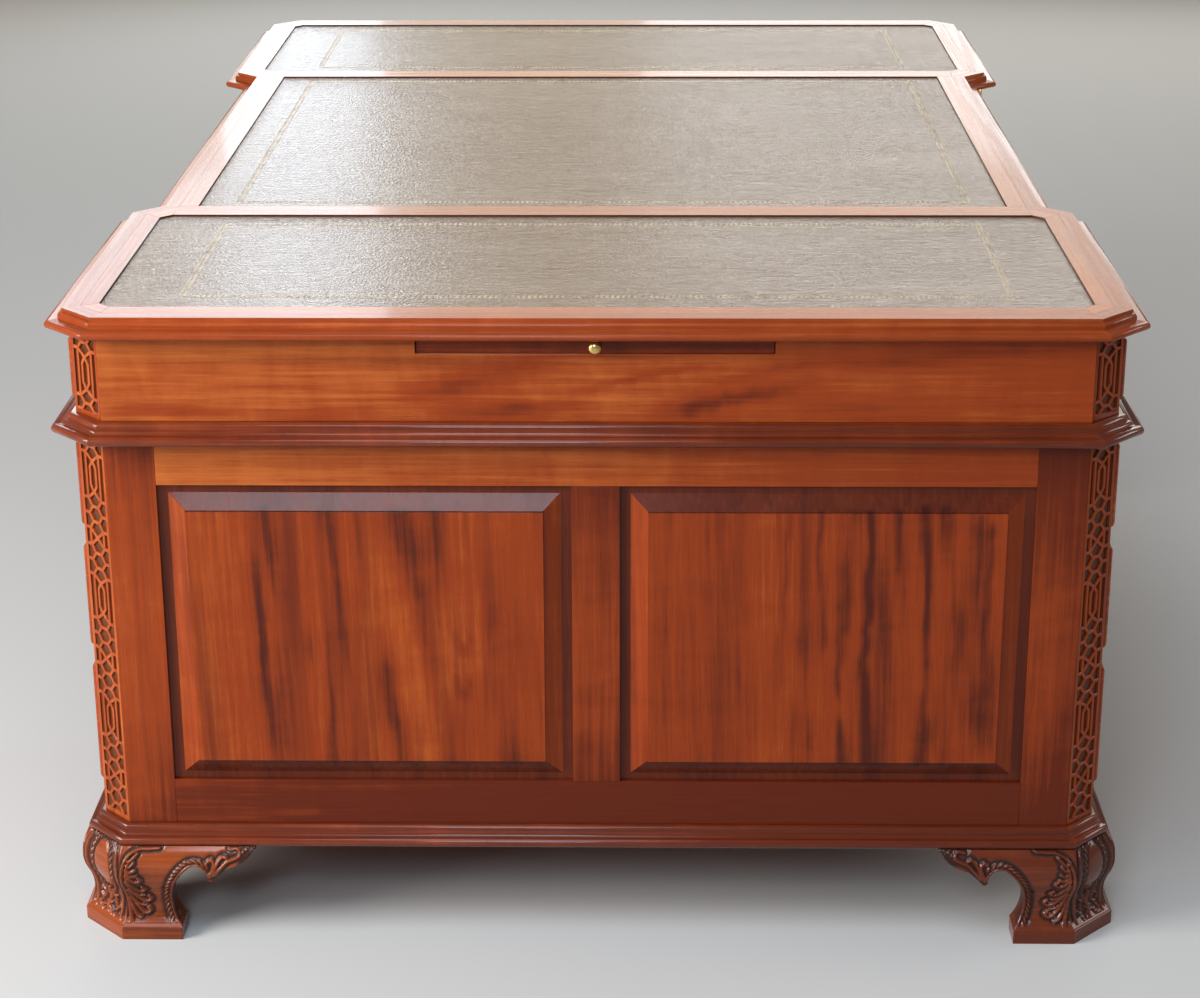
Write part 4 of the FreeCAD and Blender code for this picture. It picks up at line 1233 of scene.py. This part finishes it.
# Leather insets with a tooled line
leatherValues = {
    "color": (0.145, 0.086, 0.052, 1.0), "worn": (0.21, 0.15, 0.11, 1.0),
    "scuffed": (0.035, 0.024, 0.018, 1.0),
    "crease": {"stretch": (1.0, 0.16, 1.0), "scale": 170.0, "detail": 4.0, "roughness": 0.62,
               "distortion": 0.9},
    "scuff": {"stretch": (1.0, 0.22, 1.0), "scale": 95.0, "detail": 3.0, "roughness": 0.6, "distortion": 1.2},
    "broad": {"stretch": (1.0, 0.35, 1.0), "scale": 9.0, "detail": 5.0, "roughness": 0.65},
    "pebbleStretch": (1.0, 0.6, 1.0), "pebbleScale": 420.0, "pebbleHeight": 0.35,
    "wornRange": (0.45, 0.75), "wornDepth": 0.5, "scuffRange": (0.62, 0.74), "scuffDepth": 0.55,
    "roughness": 0.17, "roughRange": (0.3, 0.7, -0.02, 0.03), "specular": 0.5,
    "bump": 0.75, "creaseDepth": 0.0020, "ease": 0.0006,
}
goldValues = {"color": (0.50, 0.40, 0.26, 1.0), "rubbed": (0.22, 0.16, 0.10, 1.0), "rubRange": (0.44, 0.66),
              "rub": {"scale": 55.0, "detail": 3.0, "roughness": 0.6}, "metallic": 0.25, "roughness": 0.42}
toolValues = {"pitch": 0.0064, "length": 0.0056, "width": 0.0030, "rowGap": 0.0054, "lift": 0.00012,
              "tilt": 24.0, "sideLine": 0.480, "endLines": (0.527, 0.866), "centreLine": 0.407}


def makeLeather(values):
    material, tree, shader = newMaterial("insetLeather")
    place = addNode(tree, "ShaderNodeTexCoord").outputs["Object"]
    crease, scuff, broad = (addNoise(tree, place, **values[name]) for name in ("crease", "scuff", "broad"))
    stretched = addStretch(tree, place, values["pebbleStretch"])
    pebbleInputs = {"Vector": stretched, "Scale": values["pebbleScale"]}
    pebble = addNode(tree, "ShaderNodeTexVoronoi", pebbleInputs).outputs[0]
    height = addMath(tree, "ADD", crease, addMath(tree, "MULTIPLY", pebble, values["pebbleHeight"]))
    bumpInputs = {"Strength": values["bump"], "Distance": values["creaseDepth"], "Height": height}
    bump = addNode(tree, "ShaderNodeBump", bumpInputs)
    worn = addMath(tree, "MULTIPLY", addStep(tree, broad, *values["wornRange"]), values["wornDepth"])
    scuffed = addMath(tree, "MULTIPLY", addStep(tree, scuff, *values["scuffRange"]), values["scuffDepth"])
    color = addMix(tree, worn, values["color"], values["worn"])
    color = addMix(tree, scuffed, color, values["scuffed"])
    rough = addMath(tree, "ADD", addStep(tree, broad, *values["roughRange"]), values["roughness"])
    setInputs(tree, shader, {"Base Color": color, "Roughness": rough, "Normal": bump.outputs["Normal"],
                             "Specular IOR Level": values["specular"]})
    return material


def makeGold(values):
    material, tree, shader = newMaterial("tooledGold")
    place = addNode(tree, "ShaderNodeTexCoord").outputs["Object"]
    rubbed = addStep(tree, addNoise(tree, place, **values["rub"]), *values["rubRange"])
    color = addMix(tree, rubbed, values["color"], values["rubbed"])
    setInputs(tree, shader, {"Base Color": color, "Metallic": values["metallic"],
                             "Roughness": values["roughness"]})
    return material


insetLeather, tooledGold = makeLeather(leatherValues), makeGold(goldValues)


def dressLeather(node):
    piece = newPiece()
    for shape in splitBoards(nodes[node].data):
        easeEdges(shape, leatherValues["ease"])
        shadeBoard(shape)
        addBoard(piece, shape, Vector((0, 1, 0)), node, lambda face: 0)
        shape.free()
    finishPiece("dressed_" + node, piece, [insetLeather], node)


def makeStamp(values):
    # One stamp of the tool: a pair of slanted lozenges, so that a row of them reads as a plaited chain
    lozenge = [(-0.5, 0.0), (-0.22, 0.5), (0.22, 0.5), (0.5, 0.0), (0.22, -0.5), (-0.22, -0.5)]
    shape = bmesh.new()
    for side in (-1, 1):
        tilt = Matrix.Rotation(math.radians(side * values["tilt"]), 3, "Z")
        corners = [tilt @ Vector((x * values["length"], y * values["width"], 0)) for x, y in lozenge]
        shift = Vector((0, side * values["rowGap"] / 2, values["lift"]))
        top = shape.faces.new([shape.verts.new(corner + shift) for corner in corners])
        base = bmesh.ops.extrude_face_region(shape, geom=[top], use_keep_orig=True)
        lowered = [item for item in base["geom"] if isinstance(item, bmesh.types.BMVert)]
        bmesh.ops.translate(shape, verts=lowered, vec=Vector((0, 0, -2 * values["lift"])))
    bmesh.ops.recalc_face_normals(shape, faces=shape.faces)
    fixOrder(shape)
    mesh = bpy.data.meshes.new("toolStamp")
    shape.to_mesh(mesh)
    shape.free()
    stamp = bpy.data.objects.new("toolStamp", mesh)
    bpy.context.scene.collection.objects.link(stamp)
    return stamp


def makeToolTree():
    tree = bpy.data.node_groups.new("tooledLine", "GeometryNodeTree")
    tree.interface.new_socket("Geometry", in_out="INPUT", socket_type="NodeSocketGeometry")
    inputs = {"Pitch": "NodeSocketFloat", "Stamp": "NodeSocketObject", "Material": "NodeSocketMaterial"}
    for label, kind in inputs.items():
        tree.interface.new_socket(label, in_out="INPUT", socket_type=kind)
    tree.interface.new_socket("Geometry", in_out="OUTPUT", socket_type="NodeSocketGeometry")
    given, result = tree.nodes.new("NodeGroupInput"), tree.nodes.new("NodeGroupOutput")
    path = addNode(tree, "GeometryNodeMeshToCurve", {"Mesh": given.outputs["Geometry"]})
    spacing = {"Curve": path.outputs[0], "Length": given.outputs["Pitch"]}
    spaced = addNode(tree, "GeometryNodeResampleCurve", spacing, mode="LENGTH")
    stamp = addNode(tree, "GeometryNodeObjectInfo", {"Object": given.outputs["Stamp"]})
    tangent = {"Vector": addNode(tree, "GeometryNodeInputTangent").outputs[0]}
    turn = addNode(tree, "FunctionNodeAlignRotationToVector", tangent, axis="X", pivot_axis="Z")
    stamped = addNode(tree, "GeometryNodeInstanceOnPoints", {
        "Points": spaced.outputs[0], "Instance": stamp.outputs["Geometry"], "Rotation": turn.outputs[0]})
    solid = addNode(tree, "GeometryNodeRealizeInstances", {"Geometry": stamped.outputs[0]})
    gilding = {"Geometry": solid.outputs[0], "Material": given.outputs["Material"]}
    gilded = addNode(tree, "GeometryNodeSetMaterial", gilding)
    tree.links.new(gilded.outputs[0], result.inputs["Geometry"])
    return tree


def toolLine(node, tree, stamp, lowX, highX, values):
    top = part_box(node)[1].z
    reach = values["sideLine"]
    corners = [(lowX, -reach, top), (highX, -reach, top), (highX, reach, top), (lowX, reach, top)]
    mesh = bpy.data.meshes.new("toolPath")
    mesh.from_pydata(corners, [(0, 1), (1, 2), (2, 3), (3, 0)], [])
    path = bpy.data.objects.new("toolPath", mesh)
    bpy.context.scene.collection.objects.link(path)
    modifier = path.modifiers.new("tooling", "NODES")
    modifier.node_group = tree
    sockets = {item.name: item.identifier for item in tree.interface.items_tree if item.in_out == "INPUT"}
    modifier[sockets["Pitch"]] = values["pitch"]
    modifier[sockets["Stamp"]] = stamp
    modifier[sockets["Material"]] = tooledGold
    path.update_tag()
    bpy.context.view_layer.update()
    made = bpy.data.meshes.new_from_object(path.evaluated_get(bpy.context.evaluated_depsgraph_get()))
    made.name = "tooled_line_" + node
    bpy.data.objects.remove(path)
    placePiece("tooled_line_" + node, made, node)


stampObject, toolTree = makeStamp(toolValues), makeToolTree()
innerLine, outerLine = toolValues["endLines"]
toolSpans = {"leather_right": (innerLine, outerLine), "leather_left": (-outerLine, -innerLine),
             "leather_centre": (-toolValues["centreLine"], toolValues["centreLine"])}
for nodeName, (lowX, highX) in toolSpans.items():
    dressLeather(nodeName)
    toolLine(nodeName, toolTree, stampObject, lowX, highX, toolValues)
bpy.data.objects.remove(stampObject)
print("leather dressed and tooled")


# Camera at the photograph's place
cameraValues = {"place": (3.79957, 0.05313, 1.60511), "yaw": -0.01688, "pitch": -0.35145, "roll": -0.00333,
                "focalPixels": 2631.92, "imageWidth": 1200.0, "sensor": 36.0}


def makeCamera(values):
    yaw, pitch, roll = values["yaw"], values["pitch"], values["roll"]
    forward = Vector((-math.cos(yaw) * math.cos(pitch), math.sin(yaw) * math.cos(pitch), math.sin(pitch)))
    levelRight = Vector((math.sin(yaw), math.cos(yaw), 0))
    levelUp = levelRight.cross(forward)
    right = math.cos(roll) * levelRight + math.sin(roll) * levelUp
    up = math.cos(roll) * levelUp - math.sin(roll) * levelRight
    data = bpy.data.cameras.new("deskCamera")
    data.sensor_width = values["sensor"]
    data.lens = values["sensor"] * values["focalPixels"] / values["imageWidth"]
    camera = bpy.data.objects.new("deskCamera", data)
    turn = Matrix((right, up, -forward)).transposed()
    camera.matrix_world = Matrix.Translation(values["place"]) @ turn.to_4x4()
    bpy.context.scene.collection.objects.link(camera)
    bpy.context.scene.camera = camera


makeCamera(cameraValues)

# Floor and light
studio = {"floorSize": 60.0, "floorColor": (0.47, 0.465, 0.455, 1.0), "floorRoughness": 0.8,
          "floorSpecular": 0.1, "worldColor": (1.0, 0.985, 0.96, 1.0), "worldStrength": 0.28}
lampColors = {"cool": (0.80, 0.88, 1.0), "sky": (0.72, 0.85, 1.0), "window": (0.74, 0.86, 1.0),
              "warm": (1.0, 0.97, 0.93), "tan": (1.0, 0.89, 0.71)}
lamps = {
    "key": {"place": (4.75, -0.68, 2.92), "aim": (0.95, -0.1, 0.5), "size": (1.2, 1.2),
            "power": 62.0, "color": "cool"},
    "side": {"place": (2.3, -3.3, 1.8), "aim": (0.95, -0.2, 0.45), "size": (1.8, 1.8),
             "power": 215.0, "color": "warm"},
    "sky": {"place": (2.5, -0.7, 3.9), "aim": (0.9, 0.0, 0.5), "size": (2.1, 2.1),
            "power": 75.0, "color": "sky"},
    "glint": {"place": (0.0, 4.2, 2.0), "aim": (0.95, 0.6, 0.5), "size": (2.0, 1.2),
              "power": 45.0, "color": "warm"},
    "back": {"place": (-6.0, 0.8, 2.4), "aim": (0.2, 0.2, 0.78), "size": (8.0, 2.6),
             "power": 118.0, "color": "tan"},
    "low": {"place": (-5.9, 1.8, 1.7), "aim": (0.0, 0.2, 0.78), "size": (3.6, 0.9),
            "power": 22.0, "color": "cool"},
    "sheen": {"place": (-5.244, -2.052, 2.953), "aim": (0.556, -0.252, 1.433), "size": (2.45, 1.655),
              "power": 41.0, "color": "window"},
    "sheenLow": {"place": (-5.9, -1.225, 1.498), "aim": (-0.1, 0.575, -0.02), "size": (0.618, 1.345),
                 "power": 8.4, "color": "window"},
}


def makeLamp(name, values):
    data = bpy.data.lights.new(name, "AREA")
    data.energy = values["power"]
    data.color = lampColors[values["color"]]
    data.shape = "RECTANGLE"
    data.size, data.size_y = values["size"]
    lamp = bpy.data.objects.new(name, data)
    place = Vector(values["place"])
    lamp.location = place
    lamp.rotation_euler = (Vector(values["aim"]) - place).to_track_quat("-Z", "Y").to_euler()
    bpy.context.scene.collection.objects.link(lamp)


def makeFloor(values):
    reach = values["floorSize"] / 2
    corners = [(-reach, -reach, 0), (reach, -reach, 0), (reach, reach, 0), (-reach, reach, 0)]
    mesh = bpy.data.meshes.new("studioFloor")
    mesh.from_pydata(corners, [], [(0, 1, 2, 3)])
    material, tree, shader = newMaterial("studioFloor")
    setInputs(tree, shader, {"Base Color": values["floorColor"], "Roughness": values["floorRoughness"],
                             "Specular IOR Level": values["floorSpecular"]})
    mesh.materials.append(material)
    floor = bpy.data.objects.new("studioFloor", mesh)
    bpy.context.scene.collection.objects.link(floor)


def makeWorld(values):
    world = bpy.data.worlds.new("studioWorld")
    bpy.context.scene.world = world
    world.use_nodes = True
    background = world.node_tree.nodes["Background"]
    background.inputs["Color"].default_value = values["worldColor"]
    background.inputs["Strength"].default_value = values["worldStrength"]


makeFloor(studio)
makeWorld(studio)
for lampName, lampValues in lamps.items():
    makeLamp(lampName + "Lamp", lampValues)
bpy.context.scene.view_settings.view_transform = "Standard"
print("studio ready")
